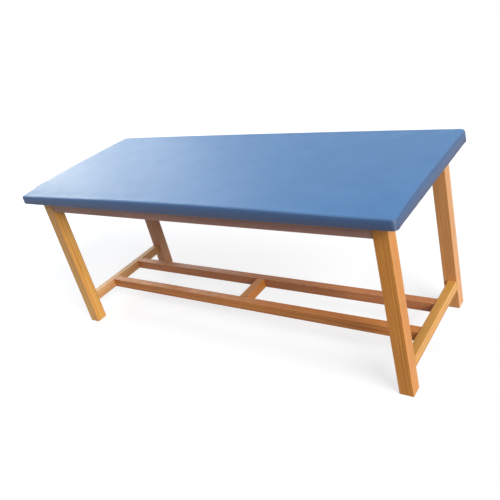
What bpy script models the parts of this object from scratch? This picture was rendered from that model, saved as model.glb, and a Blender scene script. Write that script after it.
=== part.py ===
"""Treatment plinth: a flat padded top, wrapped in vinyl, on a varnished timber underframe.

Units are metres and +Z is up. The origin lies on the floor below the middle of the top,
+X runs along the length of the plinth and -Y is its front.
"""
import math

import bmesh
import bpy
from mathutils import Matrix, Vector

# Padded top
PAD_LENGTH = 1.830
PAD_WIDTH = 0.710
PAD_EDGE_RADIUS = 0.013
CORNER_EXTRA_RADIUS = 0.005
BOARD_THICKNESS = 0.012
FOAM_THICKNESS = 0.040
COVER_THICKNESS = 0.0012
END_FALL = 0.008
SIDE_FALL = 0.003
SIDE_SWELL = 0.002
FOLD_CLEARANCE = 0.017

# Legs
FRAME_HEIGHT = 0.695
LEG_WIDTH = 0.054
END_OVERHANG = 0.057
SIDE_OVERHANG = 0.058
LEG_ARRIS = 0.002
FOOT_CHAMFER = 0.0015

# Aprons under the top
APRON_HEIGHT = 0.067
APRON_THICKNESS = 0.025
APRON_SETBACK = 0.003
MORTISE_WALL = 0.006

# Bearers and corner blocks that carry the board
SUPPORT_HEIGHT = 0.042
BEARER_WIDTH = 0.030
BLOCK_THICKNESS = 0.030

# Stretchers near the floor
STRETCHER_TOP = 0.134
END_STRETCHER_HEIGHT = 0.043
END_STRETCHER_THICKNESS = 0.034
END_STRETCHER_SETBACK = 0.001
LONG_STRETCHER_HEIGHT = 0.043
LONG_STRETCHER_WIDTH = 0.036
LONG_STRETCHER_SPACING = 0.184
BRACE_WIDTH = 0.040
RAIL_ARRIS = 0.0015

# Wood screws
SCREW_HEAD_RADIUS = 0.0042
SCREW_HEAD_RIM = 0.0004
SCREW_SHANK_RADIUS = 0.0021
SCREW_POINT_LENGTH = 0.006
LEG_SCREW_BITE = 0.028

# Fits: every pair of touching faces keeps this gap, and a cut passes its surface by the overrun
FIT_GAP = 0.0003
CUT_OVERRUN = 0.002

# Counts, and shares of the piece that carries each feature
BEARER_COUNT = 3
ARRIS_SEGMENTS = 3
CORNER_SEGMENTS = 4
EDGE_SEGMENTS = 3
SCREW_SIDES = 12
TENON_THICKNESS_SHARE = 0.36
TENON_WIDTH_SHARE = 0.66
STUB_TENON_SHARE = 0.45
BOARD_BITE_SHARE = 0.65
BEARER_SCREW_SHARE = 0.62
BLOCK_SCREW_SHARE = 0.25
RECESS_ARM_SHARE = 0.55
RECESS_HALF_WIDTH_SHARE = 0.17
RECESS_DEPTH_SHARE = 0.40
RECESS_TAPER_SHARE = 0.45
LENGTH_CUT_SHARES = (0.16, 0.32, 0.48, 0.64, 0.79, 0.92)
WIDTH_CUT_SHARES = (0.30, 0.58, 0.83)

# Heights of the stack above the frame
BOARD_BOTTOM = FRAME_HEIGHT + FIT_GAP
BOARD_TOP = BOARD_BOTTOM + BOARD_THICKNESS
FOAM_BOTTOM = BOARD_TOP + FIT_GAP
PAD_BOTTOM = BOARD_BOTTOM - FIT_GAP - COVER_THICKNESS
PAD_TOP = FOAM_BOTTOM + FOAM_THICKNESS + FIT_GAP + COVER_THICKNESS
PAD_RIM = PAD_TOP - END_FALL - SIDE_FALL
PAD_CORNER_RADIUS = PAD_EDGE_RADIUS + CORNER_EXTRA_RADIUS
BOARD_INSET = COVER_THICKNESS + FIT_GAP
COVER_FOLD = min(END_OVERHANG, SIDE_OVERHANG) - FOLD_CLEARANCE

# Places in plan, each measured from the middle of the plinth
LEG_X = PAD_LENGTH / 2 - END_OVERHANG - LEG_WIDTH / 2
LEG_Y = PAD_WIDTH / 2 - SIDE_OVERHANG - LEG_WIDTH / 2
LEG_INNER_X = LEG_X - LEG_WIDTH / 2
LEG_INNER_Y = LEG_Y - LEG_WIDTH / 2
APRON_DEPTH = APRON_SETBACK + APRON_THICKNESS / 2
APRON_X = LEG_X + LEG_WIDTH / 2 - APRON_DEPTH
APRON_Y = LEG_Y + LEG_WIDTH / 2 - APRON_DEPTH
APRON_INNER_X = APRON_X - APRON_THICKNESS / 2
APRON_INNER_Y = APRON_Y - APRON_THICKNESS / 2
END_STRETCHER_X = LEG_X + LEG_WIDTH / 2 - END_STRETCHER_SETBACK - END_STRETCHER_THICKNESS / 2
END_STRETCHER_INNER_X = END_STRETCHER_X - END_STRETCHER_THICKNESS / 2
LONG_STRETCHER_Y = LONG_STRETCHER_SPACING / 2
LONG_STRETCHER_INNER_Y = LONG_STRETCHER_Y - LONG_STRETCHER_WIDTH / 2

# The two aprons at a leg have tenons that stop short of each other by the mortise wall
APRON_TENON_THICKNESS = APRON_THICKNESS * TENON_THICKNESS_SHARE
APRON_TENON_LENGTH = LEG_WIDTH - APRON_DEPTH - APRON_TENON_THICKNESS / 2 - MORTISE_WALL

# A corner block runs square across the corner, from the leg's rounded inner edge inwards.
# Its faces lie where the distances from the two aprons add up to these sums, and rounding
# an edge brings it back by the rounding share of its radius.
ROUNDING_SHARE = 2 - math.sqrt(2)
LEG_INTRUSION = APRON_INNER_X - LEG_INNER_X + APRON_INNER_Y - LEG_INNER_Y
BLOCK_OUTER = LEG_INTRUSION - LEG_ARRIS * ROUNDING_SHARE + FIT_GAP * math.sqrt(2)
BLOCK_INNER = BLOCK_OUTER + BLOCK_THICKNESS * math.sqrt(2)

BOARD_SCREW_LENGTH = SUPPORT_HEIGHT + FIT_GAP + BOARD_THICKNESS * BOARD_BITE_SHARE
LEG_SCREW_LENGTH = BLOCK_THICKNESS + FIT_GAP + LEG_SCREW_BITE

AXES = "xyz"
SIDES = (-1, 1)
END_NAMES = {-1: "left", 1: "right"}
SIDE_NAMES = {-1: "front", 1: "back"}


def clear_scene():
    for old in list(bpy.data.objects):
        bpy.data.objects.remove(old, do_unlink=True)


def linear(channel):
    """One 0 to 255 display value as the linear value that a shader takes."""
    value = channel / 255
    if value <= 0.04045:
        return value / 12.92
    return ((value + 0.055) / 1.055) ** 2.4


def make_material(name, display_colour, roughness, metallic=0.0):
    material = bpy.data.materials.new(name)
    material.use_nodes = True
    shader = material.node_tree.nodes["Principled BSDF"]
    shader.inputs["Base Color"].default_value = [linear(c) for c in display_colour] + [1.0]
    shader.inputs["Roughness"].default_value = roughness
    shader.inputs["Metallic"].default_value = metallic
    return material


def make_group(name, parent=None):
    group = bpy.data.objects.new(name, None)
    group.parent = parent
    bpy.context.scene.collection.objects.link(group)
    return group


def place(name, mesh, location, parent, rotation=(0, 0, 0)):
    piece = bpy.data.objects.new(name, mesh)
    piece.location = location
    piece.rotation_euler = rotation
    piece.parent = parent
    bpy.context.scene.collection.objects.link(piece)
    return piece


def make_guide(name, mesh, location, rotation=(0, 0, 0)):
    """A shape that only cuts or completes other pieces and is no piece itself."""
    guide = place(name + "_guide", mesh, location, None, rotation)
    guide.hide_render = True
    guide.display_type = "WIRE"
    return guide


def combine(piece, guide, operation):
    change = piece.modifiers.new(guide.name, "BOOLEAN")
    change.operation = operation
    change.solver = "EXACT"
    change.object = guide


def finish_mesh(bm, name, material=None):
    bmesh.ops.recalc_face_normals(bm, faces=bm.faces)
    mesh = bpy.data.meshes.new(name)
    bm.to_mesh(mesh)
    bm.free()
    if material:
        mesh.materials.append(material)
    return mesh


def start_box(size, middle=(0, 0, 0)):
    bm = bmesh.new()
    bmesh.ops.create_cube(bm, size=1, matrix=Matrix.Diagonal((*size, 1)))
    bmesh.ops.translate(bm, verts=bm.verts, vec=middle)
    return bm


def edges_along(bm, axis):
    """The edges that run straight along one axis."""
    others = [AXES.index(other) for other in AXES if other != axis]
    found = []
    for edge in bm.edges:
        start, end = (vert.co for vert in edge.verts)
        if all(start[i] == end[i] for i in others):
            found.append(edge)
    return found


def round_edges(bm, edges, radius, segments):
    bmesh.ops.bevel(bm, geom=edges, offset=radius, offset_type="OFFSET", affect="EDGES",
                    segments=segments, profile=0.5, material=-1)


def lowest_face(bm):
    return min(bm.faces, key=lambda face: face.calc_center_median().z)


def highest_face(bm):
    return max(bm.faces, key=lambda face: face.calc_center_median().z)


def plain_box_mesh(name, size):
    return finish_mesh(start_box(size), name)


def timber_mesh(name, size, axis, arris, material):
    """A sawn and planed length of timber, its long edges softened."""
    bm = start_box(size)
    round_edges(bm, edges_along(bm, axis), arris, ARRIS_SEGMENTS)
    return finish_mesh(bm, name, material)


def make_leg(end, side, parent, material):
    name = f"leg_{SIDE_NAMES[side]}_{END_NAMES[end]}"
    size = Vector((LEG_WIDTH, LEG_WIDTH, FRAME_HEIGHT))
    bm = start_box(size)
    round_edges(bm, edges_along(bm, "z"), LEG_ARRIS, ARRIS_SEGMENTS)
    round_edges(bm, list(lowest_face(bm).edges), FOOT_CHAMFER, 1)
    mesh = finish_mesh(bm, name, material)
    return place(name, mesh, (end * LEG_X, side * LEG_Y, FRAME_HEIGHT / 2), parent)


def make_rail(name, axis, size, thin_axis, centre, tenon_length, hosts, parent, material):
    """A rail along one axis that fills the space between its two hosts, with a tenon into each.

    Its size along that axis is the clear distance between the hosts. The tenon is centred in
    the rail, and is thinned most along the thin axis.
    """
    along = AXES.index(axis)
    thin = AXES.index(thin_axis)
    body = Vector(size)
    body[along] -= 2 * FIT_GAP
    rail = place(name, timber_mesh(name, body, axis, RAIL_ARRIS, material), centre, parent)

    tenon = Vector(size) * TENON_WIDTH_SHARE
    tenon[thin] = size[thin] * TENON_THICKNESS_SHARE
    tenon[along] = size[along] + 2 * tenon_length
    tenon_guide = make_guide(name + "_tenon", plain_box_mesh(name + "_tenon", tenon), centre)
    combine(rail, tenon_guide, "UNION")

    mortise = tenon + Vector((1, 1, 1)) * 2 * FIT_GAP
    mortise_guide = make_guide(name + "_mortise", plain_box_mesh(name + "_mortise", mortise), centre)
    for host in hosts:
        combine(host, mortise_guide, "DIFFERENCE")
    return rail


def make_aprons(legs, parent, material):
    """The four rails under the board; returns the front and back ones by side."""
    height = FRAME_HEIGHT - APRON_HEIGHT / 2
    long_aprons = {}
    for side in SIDES:
        size = (2 * LEG_INNER_X, APRON_THICKNESS, APRON_HEIGHT)
        hosts = [legs[end, side] for end in SIDES]
        long_aprons[side] = make_rail(f"apron_{SIDE_NAMES[side]}", "x", size, "y",
                                      (0, side * APRON_Y, height), APRON_TENON_LENGTH,
                                      hosts, parent, material)
    for end in SIDES:
        size = (APRON_THICKNESS, 2 * LEG_INNER_Y, APRON_HEIGHT)
        hosts = [legs[end, side] for side in SIDES]
        make_rail(f"apron_{END_NAMES[end]}_end", "y", size, "x",
                  (end * APRON_X, 0, height), APRON_TENON_LENGTH, hosts, parent, material)
    return long_aprons


def make_stretchers(legs, parent, material):
    """The low H frame: two end stretchers, two long ones between them and a brace."""
    ends = {}
    for end in SIDES:
        size = (END_STRETCHER_THICKNESS, 2 * LEG_INNER_Y, END_STRETCHER_HEIGHT)
        centre = (end * END_STRETCHER_X, 0, STRETCHER_TOP - END_STRETCHER_HEIGHT / 2)
        hosts = [legs[end, side] for side in SIDES]
        ends[end] = make_rail(f"stretcher_{END_NAMES[end]}_end", "y", size, "x", centre,
                              LEG_WIDTH * STUB_TENON_SHARE, hosts, parent, material)

    level = STRETCHER_TOP - LONG_STRETCHER_HEIGHT / 2
    longs = {}
    for side in SIDES:
        size = (2 * END_STRETCHER_INNER_X, LONG_STRETCHER_WIDTH, LONG_STRETCHER_HEIGHT)
        longs[side] = make_rail(f"stretcher_{SIDE_NAMES[side]}_long", "x", size, "y",
                                (0, side * LONG_STRETCHER_Y, level),
                                END_STRETCHER_THICKNESS * STUB_TENON_SHARE,
                                list(ends.values()), parent, material)

    size = (BRACE_WIDTH, 2 * LONG_STRETCHER_INNER_Y, LONG_STRETCHER_HEIGHT)
    make_rail("stretcher_brace", "y", size, "z", (0, 0, level),
              LONG_STRETCHER_WIDTH * STUB_TENON_SHARE, list(longs.values()), parent, material)


def make_bearers(long_aprons, parent, material):
    """Cross pieces, evenly spaced between the end aprons; returns each with its x."""
    step = 2 * APRON_INNER_X / (BEARER_COUNT + 1)
    bearers = []
    for number in range(1, BEARER_COUNT + 1):
        x = number * step - APRON_INNER_X
        size = (BEARER_WIDTH, 2 * APRON_INNER_Y, SUPPORT_HEIGHT)
        bearer = make_rail(f"bearer_{number}", "y", size, "x",
                           (x, 0, FRAME_HEIGHT - SUPPORT_HEIGHT / 2),
                           APRON_THICKNESS * STUB_TENON_SHARE,
                           list(long_aprons.values()), parent, material)
        bearers.append((bearer, x))
    return bearers


def make_corner_block(end, side, parent, material):
    """A block across the corner, cut at 45 degrees to lie against both aprons."""
    name = f"corner_block_{SIDE_NAMES[side]}_{END_NAMES[end]}"
    outline = [(BLOCK_OUTER - FIT_GAP, FIT_GAP), (BLOCK_INNER - FIT_GAP, FIT_GAP),
               (FIT_GAP, BLOCK_INNER - FIT_GAP), (FIT_GAP, BLOCK_OUTER - FIT_GAP)]
    middle = BLOCK_OUTER / 4 + BLOCK_INNER / 4
    bm = bmesh.new()
    corners = []
    for from_end_apron, from_side_apron in outline:
        flat = (end * (middle - from_end_apron), side * (middle - from_side_apron))
        corners.append(bm.verts.new((*flat, -SUPPORT_HEIGHT / 2)))
    base = bm.faces.new(corners)
    grown = bmesh.ops.extrude_face_region(bm, geom=[base])["geom"]
    lifted = [item for item in grown if isinstance(item, bmesh.types.BMVert)]
    bmesh.ops.translate(bm, verts=lifted, vec=(0, 0, SUPPORT_HEIGHT))
    mesh = finish_mesh(bm, name, material)
    location = (end * (APRON_INNER_X - middle), side * (APRON_INNER_Y - middle),
                FRAME_HEIGHT - SUPPORT_HEIGHT / 2)
    return place(name, mesh, location, parent)


def turned_mesh(name, profile, material=None):
    """Turns a profile of (radius, height) points about Z; it starts and ends on the axis."""
    bm = bmesh.new()
    verts = [bm.verts.new((radius, 0, height)) for radius, height in profile]
    edges = [bm.edges.new(pair) for pair in zip(verts, verts[1:])]
    bmesh.ops.spin(bm, geom=verts + edges, cent=(0, 0, 0), axis=(0, 0, 1),
                   angle=math.tau, steps=SCREW_SIDES, use_merge=True)
    bmesh.ops.remove_doubles(bm, verts=bm.verts, dist=SCREW_SHANK_RADIUS / SCREW_SIDES)
    mesh = finish_mesh(bm, name, material)
    mesh.shade_smooth()
    mesh.set_sharp_from_angle(angle=math.radians(35))
    return mesh


def screw_mesh(name, length, material):
    """A countersunk screw: the head's face is at zero and the point at length."""
    cone_end = SCREW_HEAD_RIM + SCREW_HEAD_RADIUS - SCREW_SHANK_RADIUS
    profile = [(0, 0), (SCREW_HEAD_RADIUS, 0), (SCREW_HEAD_RADIUS, SCREW_HEAD_RIM),
               (SCREW_SHANK_RADIUS, cone_end), (SCREW_SHANK_RADIUS, length - SCREW_POINT_LENGTH),
               (0, length)]
    return turned_mesh(name, profile, material)


def screw_hole_mesh(name, length):
    """The countersunk hole for such a screw, wider all round by the fit gap."""
    head = SCREW_HEAD_RADIUS + FIT_GAP
    shank = SCREW_SHANK_RADIUS + FIT_GAP
    cone_end = SCREW_HEAD_RIM + SCREW_HEAD_RADIUS - SCREW_SHANK_RADIUS
    profile = [(0, -CUT_OVERRUN), (head, -CUT_OVERRUN), (head, SCREW_HEAD_RIM),
               (shank, cone_end), (shank, length + FIT_GAP), (0, length + FIT_GAP)]
    return turned_mesh(name, profile)


def recess_mesh():
    """The cross recess of a screw head: a plus sign that narrows towards its bottom."""
    reach = SCREW_HEAD_RADIUS * RECESS_ARM_SHARE
    half = SCREW_HEAD_RADIUS * RECESS_HALF_WIDTH_SHARE
    bm = bmesh.new()
    corners = []
    for quarter in range(4):
        turn = Matrix.Rotation(quarter * math.pi / 2, 3, "Z")
        for point in ((reach, -half, 0), (reach, half, 0), (half, half, 0)):
            corners.append(bm.verts.new(turn @ Vector(point)))
    bmesh.ops.translate(bm, verts=bm.verts, vec=(0, 0, -CUT_OVERRUN))
    mouth = bm.faces.new(corners)
    grown = bmesh.ops.extrude_face_region(bm, geom=[mouth])["geom"]
    floor = [item for item in grown if isinstance(item, bmesh.types.BMVert)]
    bmesh.ops.scale(bm, verts=floor, vec=(RECESS_TAPER_SHARE, RECESS_TAPER_SHARE, 1))
    depth = SCREW_HEAD_RADIUS * RECESS_DEPTH_SHARE
    bmesh.ops.translate(bm, verts=floor, vec=(0, 0, CUT_OVERRUN + depth))
    return finish_mesh(bm, "screw_recess")


class ScrewKit:
    """Screws of one length: the screw, its hole and its recess share their meshes."""

    def __init__(self, kind, length, material):
        self.screw = screw_mesh(kind, length, material)
        self.hole = screw_hole_mesh(kind + "_hole", length)
        self.recess = recess_mesh()

    def drive(self, name, head_place, rotation, hosts, parent):
        """Puts one screw in with its head at head_place and cuts its hole in the hosts."""
        screw = place(name, self.screw, head_place, parent, rotation)
        combine(screw, make_guide(name + "_recess", self.recess, head_place, rotation), "DIFFERENCE")
        hole = make_guide(name + "_hole", self.hole, head_place, rotation)
        for host in hosts:
            combine(host, hole, "DIFFERENCE")


def make_board(parent, material):
    size = (PAD_LENGTH - 2 * BOARD_INSET, PAD_WIDTH - 2 * BOARD_INSET, BOARD_THICKNESS)
    bm = start_box(size)
    round_edges(bm, edges_along(bm, "z"), PAD_CORNER_RADIUS - BOARD_INSET, CORNER_SEGMENTS)
    mesh = finish_mesh(bm, "top_board", material)
    return place("top_board", mesh, (0, 0, BOARD_BOTTOM + BOARD_THICKNESS / 2), parent)


def pull_to_form(point):
    """Moves a point of the plain block to its place on the stuffed and stretched pad.

    Above the board the top rises to its crown in the middle, and the sides swell a little
    between the corners, where the wrapped cover draws them in.
    """
    along = point.x / (PAD_LENGTH / 2)
    across = point.y / (PAD_WIDTH / 2)
    lift = min(max((point.z - BOARD_TOP) / (PAD_RIM - BOARD_TOP), 0), 1)
    swell = SIDE_SWELL * 4 * lift * (1 - lift)
    point.x += swell * along * (1 - across ** 2)
    point.y += swell * across * (1 - along ** 2)
    point.z += lift * (END_FALL * (1 - along ** 2) + SIDE_FALL * (1 - across ** 2))


def slice_across(bm, place_on_axis, axis):
    """Adds a line of vertices where a plane square to the axis meets the block."""
    normal = Vector((0, 0, 0))
    normal[AXES.index(axis)] = 1
    at = normal * place_on_axis
    everything = bm.verts[:] + bm.edges[:] + bm.faces[:]
    bmesh.ops.bisect_plane(bm, geom=everything, plane_co=at, plane_no=normal)


def pad_mesh(name, inset, bottom, material=None):
    """A closed block of the padded top's form, smaller all over by the inset."""
    length = PAD_LENGTH - 2 * inset
    width = PAD_WIDTH - 2 * inset
    top = PAD_RIM - inset
    bm = start_box((length, width, top - bottom), (0, 0, (top + bottom) / 2))
    round_edges(bm, edges_along(bm, "z"), PAD_CORNER_RADIUS - inset, CORNER_SEGMENTS)
    round_edges(bm, list(highest_face(bm).edges), PAD_EDGE_RADIUS - inset, EDGE_SEGMENTS)
    for side in SIDES:
        for share in LENGTH_CUT_SHARES:
            slice_across(bm, side * share * PAD_LENGTH / 2, "x")
        for share in WIDTH_CUT_SHARES:
            slice_across(bm, side * share * PAD_WIDTH / 2, "y")
    slice_across(bm, 0, "x")
    slice_across(bm, 0, "y")
    slice_across(bm, BOARD_TOP, "z")
    slice_across(bm, (BOARD_TOP + PAD_RIM - PAD_EDGE_RADIUS) / 2, "z")
    for vert in bm.verts:
        pull_to_form(vert.co)
    mesh = finish_mesh(bm, name, material)
    mesh.shade_smooth()
    mesh.set_sharp_from_angle(angle=math.radians(50))
    return mesh


def make_cover(parent, material):
    """The vinyl skin: over the top, down the sides and folded in under the board."""
    cover = place("vinyl_cover", pad_mesh("vinyl_cover", 0, PAD_BOTTOM, material), (0, 0, 0), parent)
    filling = pad_mesh("cover_filling", COVER_THICKNESS, BOARD_BOTTOM - FIT_GAP)
    combine(cover, make_guide("cover_filling", filling, (0, 0, 0)), "DIFFERENCE")
    window = (PAD_LENGTH - 2 * COVER_FOLD, PAD_WIDTH - 2 * COVER_FOLD,
              2 * (COVER_THICKNESS + CUT_OVERRUN))
    window_guide = make_guide("cover_window", plain_box_mesh("cover_window", window),
                              (0, 0, PAD_BOTTOM))
    combine(cover, window_guide, "DIFFERENCE")


def fasten_board(board, bearers, blocks, parent, material):
    """Screws up through the bearers and corner blocks into the board."""
    kit = ScrewKit("board_screw", BOARD_SCREW_LENGTH, material)
    level = FRAME_HEIGHT - SUPPORT_HEIGHT
    for number, (bearer, x) in enumerate(bearers, start=1):
        for side in SIDES:
            spot = (x, side * APRON_INNER_Y * BEARER_SCREW_SHARE, level)
            kit.drive(f"bearer_{number}_screw_{SIDE_NAMES[side]}", spot, (0, 0, 0),
                      [bearer, board], parent)
    middle = BLOCK_OUTER / 4 + BLOCK_INNER / 4
    for (end, side), block in blocks.items():
        for number, way in enumerate(SIDES, start=1):
            shift = way * 2 * middle * BLOCK_SCREW_SHARE
            spot = (end * (APRON_INNER_X - middle - shift),
                    side * (APRON_INNER_Y - middle + shift), level)
            kit.drive(f"{block.name}_screw_{number}", spot, (0, 0, 0), [block, board], parent)


def fasten_blocks(legs, blocks, parent, material):
    """One screw through each corner block, square to it, into the leg behind."""
    kit = ScrewKit("leg_screw", LEG_SCREW_LENGTH, material)
    for (end, side), block in blocks.items():
        spot = (end * (APRON_INNER_X - BLOCK_INNER / 2), side * (APRON_INNER_Y - BLOCK_INNER / 2),
                FRAME_HEIGHT - SUPPORT_HEIGHT / 2)
        heading = math.atan2(side, end)
        kit.drive(f"{block.name}_leg_screw", spot, (0, math.pi / 2, heading),
                  [block, legs[end, side]], parent)


def main():
    clear_scene()
    timber = make_material("varnished_timber", (196, 128, 72), 0.38)
    plywood = make_material("plywood", (188, 150, 108), 0.7)
    foam = make_material("foam", (226, 214, 176), 0.95)
    vinyl = make_material("blue_vinyl", (96, 132, 178), 0.42)
    steel = make_material("screw_steel", (168, 166, 160), 0.35, 1.0)

    plinth = make_group("plinth")
    underframe = make_group("underframe", plinth)
    padded_top = make_group("padded_top", plinth)
    fasteners = make_group("fasteners", plinth)

    legs = {(end, side): make_leg(end, side, underframe, timber) for end in SIDES for side in SIDES}
    long_aprons = make_aprons(legs, underframe, timber)
    make_stretchers(legs, underframe, timber)
    bearers = make_bearers(long_aprons, underframe, timber)
    blocks = {corner: make_corner_block(*corner, underframe, timber) for corner in legs}

    board = make_board(padded_top, plywood)
    foam_mesh = pad_mesh("foam_pad", BOARD_INSET, FOAM_BOTTOM, foam)
    place("foam_pad", foam_mesh, (0, 0, 0), padded_top)
    make_cover(padded_top, vinyl)

    fasten_board(board, bearers, blocks, fasteners, steel)
    fasten_blocks(legs, blocks, fasteners, steel)


main()
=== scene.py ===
# %% [markdown]
# # A treatment plinth: varnished timber and wrapped blue vinyl
# A treatment plinth is a plain clinic couch. A jointed timber frame carries a plywood board,
# and the board carries foam under a skin of vinyl that is folded round it and stapled below.
# The construction is already settled in the frame that this script loads, so every piece here
# takes its place from there, and the work is in the surfaces and in the soft top.

# %% Load the frame
import math

import bmesh
import bpy
from mathutils import Matrix, Vector, noise


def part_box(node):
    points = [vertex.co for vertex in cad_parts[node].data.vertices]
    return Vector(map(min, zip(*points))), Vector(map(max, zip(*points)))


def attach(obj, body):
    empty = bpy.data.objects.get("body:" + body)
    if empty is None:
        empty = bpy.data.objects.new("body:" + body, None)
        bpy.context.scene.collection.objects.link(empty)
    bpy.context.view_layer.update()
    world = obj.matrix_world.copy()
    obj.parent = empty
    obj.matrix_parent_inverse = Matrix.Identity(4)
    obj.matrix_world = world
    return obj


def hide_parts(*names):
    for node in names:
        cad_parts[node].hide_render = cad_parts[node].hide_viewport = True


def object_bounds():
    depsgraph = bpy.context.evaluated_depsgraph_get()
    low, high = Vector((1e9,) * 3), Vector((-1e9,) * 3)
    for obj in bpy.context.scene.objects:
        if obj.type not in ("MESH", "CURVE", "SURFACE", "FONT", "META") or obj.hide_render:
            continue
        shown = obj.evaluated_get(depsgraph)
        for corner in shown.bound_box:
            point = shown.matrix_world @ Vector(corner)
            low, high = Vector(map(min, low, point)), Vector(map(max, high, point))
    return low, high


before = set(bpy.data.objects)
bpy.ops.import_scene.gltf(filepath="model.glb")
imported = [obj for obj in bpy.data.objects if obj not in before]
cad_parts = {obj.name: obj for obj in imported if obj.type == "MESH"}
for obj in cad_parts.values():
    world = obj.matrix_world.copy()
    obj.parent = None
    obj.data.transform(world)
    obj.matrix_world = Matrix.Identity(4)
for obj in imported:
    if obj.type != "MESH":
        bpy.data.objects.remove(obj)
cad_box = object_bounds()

MM = 0.001
print("frame:", len(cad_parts), "nodes, size in mm",
      [round((high - low) / MM, 1) for low, high in zip(*cad_box)])

# %% [markdown]
# ## The camera
# The photograph was taken by hand from the front right corner, a little above the top, with the
# camera tipped clockwise. So the camera turns three times: round the vertical, down from the
# horizon, and round its own line of sight. The legs are upright, and only the roll makes them
# seem to lean. Turning a matrix in that order keeps each angle readable by itself.

# %% Place the camera
CAMERA_PLACE = Vector((1.5718, -1.7506, 1.5229))
CAMERA_AZIMUTH = math.radians(39.080)
CAMERA_DIP = math.radians(24.120)
CAMERA_ROLL = math.radians(-14.410)
CAMERA_LENS = 42.711
CAMERA_SHIFT = (-0.02, -0.068)


def add_object(name, data):
    """Makes an object at the origin and puts it in the scene."""
    made = bpy.data.objects.new(name, data)
    bpy.context.scene.collection.objects.link(made)
    return made


def camera_turn(azimuth, dip, roll):
    """Looks along +Y, then turns left by azimuth, tips down by dip and rolls."""
    level = Matrix.Rotation(azimuth, 3, "Z") @ Matrix.Rotation(math.pi / 2 - dip, 3, "X")
    return level @ Matrix.Rotation(roll, 3, "Z")


camera_data = bpy.data.cameras.new("studio_camera")
camera_data.lens = CAMERA_LENS
camera_data.shift_x, camera_data.shift_y = CAMERA_SHIFT
camera = add_object("studio_camera", camera_data)
camera.matrix_world = Matrix.LocRotScale(
    CAMERA_PLACE, camera_turn(CAMERA_AZIMUTH, CAMERA_DIP, CAMERA_ROLL), None)
bpy.context.scene.camera = camera
print("camera: lens", CAMERA_LENS, "mm,", round(CAMERA_PLACE.length, 2), "m from the origin")

# %% [markdown]
# ## Helpers for shader nodes
# A material is a small program made of nodes. Written out in full, each node takes four or five
# lines, which hides the idea. Helpers keep it short: one adds a node and feeds its inputs in
# order, from plain values or from other nodes, one starts a reusable group, and the others write
# the steps of arithmetic, noise and mixing that every material here takes.

# %% Node helpers
NODE_STEP = 190


def put(tree, kind, *sources, **settings):
    """Adds one node. Each source feeds the input at its place: a value, a socket, or None."""
    node = tree.nodes.new("ShaderNode" + kind)
    node.location = (NODE_STEP * len(tree.nodes), 0)
    for setting, value in settings.items():
        setattr(node, setting, value)
    for socket, source in zip(node.inputs, sources):
        feed(tree, socket, source)
    return node


def feed(tree, socket, source):
    """Links another node's socket, or sets a plain value, or leaves the input as it is."""
    if isinstance(source, bpy.types.NodeSocket):
        tree.links.new(source, socket)
    elif source is not None:
        socket.default_value = source


def count(tree, operation, *values):
    """One step of arithmetic on numbers."""
    return put(tree, "Math", *values, operation=operation).outputs[0]


def reckon(tree, operation, *values):
    """One step of arithmetic on vectors."""
    return put(tree, "VectorMath", *values, operation=operation).outputs[0]


def enlarge(tree, vector, factor):
    """A vector times one number."""
    return put(tree, "VectorMath", vector, None, None, factor, operation="SCALE").outputs[0]


def ramp(tree, value, low, high, start=0.0, end=1.0):
    """Runs smoothly from start to end while the value goes from low to high."""
    return put(tree, "MapRange", value, low, high, start, end,
               interpolation_type="SMOOTHSTEP").outputs[0]


def mix_colours(tree, share, first, second, way="MIX"):
    """The first colour where the share is 0 and the second, in its own way, where it is 1."""
    node = put(tree, "Mix", data_type="RGBA", blend_type=way)
    feed(tree, node.inputs["Factor"], share)
    feed(tree, node.inputs[6], first)
    feed(tree, node.inputs[7], second)
    return node.outputs[2]


def cloud(tree, place, scale, detail=2.0, roughness=0.5):
    """Soft noise around one half, with its lumps one over scale metres apart."""
    return put(tree, "TexNoise", place, None, scale, detail, roughness).outputs["Fac"]


def drawn_cloud(tree, place, scales, detail=2.0, roughness=0.5):
    """Soft noise with a scale of its own in each direction, so that it can follow the grain."""
    return cloud(tree, reckon(tree, "MULTIPLY", place, scales), 1.0, detail, roughness)


def start_group(name, inputs, outputs):
    """A node group with named sockets; returns its tree, its inputs and its outputs."""
    group = bpy.data.node_groups.new(name, "ShaderNodeTree")
    for label, kind, value in inputs:
        socket = group.interface.new_socket(label, in_out="INPUT", socket_type="NodeSocket" + kind)
        if value is not None:
            socket.default_value = value
    for label, kind in outputs:
        group.interface.new_socket(label, in_out="OUTPUT", socket_type="NodeSocket" + kind)
    source = group.nodes.new("NodeGroupInput")
    sink = group.nodes.new("NodeGroupOutput")
    return group, source.outputs, sink.inputs


def feed_named(tree, node, inputs):
    """Feeds inputs by name; a socket's spaces are written as underscores here."""
    for label, source in inputs.items():
        feed(tree, node.inputs[label.replace("_", " ")], source)


def use_group(tree, group, **inputs):
    """Places a group in a material and returns its outputs."""
    node = put(tree, "Group", node_tree=group)
    feed_named(tree, node, inputs)
    return node.outputs


def shade(red, green, blue):
    """A colour picked on screen, 0 to 255, as the linear colour that a shader works with."""
    linear = [((c / 255 + 0.055) / 1.055) ** 2.4 for c in (red, green, blue)]
    return (*linear, 1.0)


def grey(level):
    """A grey that is given as linear light, 0 to 1."""
    return (level, level, level, 1.0)


print("node helpers ready; a mid grey is", round(shade(128, 128, 128)[0], 3))

# %% [markdown]
# ## The studio
# The photograph shows the plinth alone on white. A bright floor and world would do that, but
# they would also flood the object with light. So the floor and the world look white only to the
# camera and to reflections, which the Light Path node tells apart, and they light the object at
# a plain level. The floor keeps part of its diffuse shading, so the shadow stays under the legs.
# The shaded timber in the photograph is cool, so the world's light is a little blue, like the sky
# in a window, while the world that is seen stays white.

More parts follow.
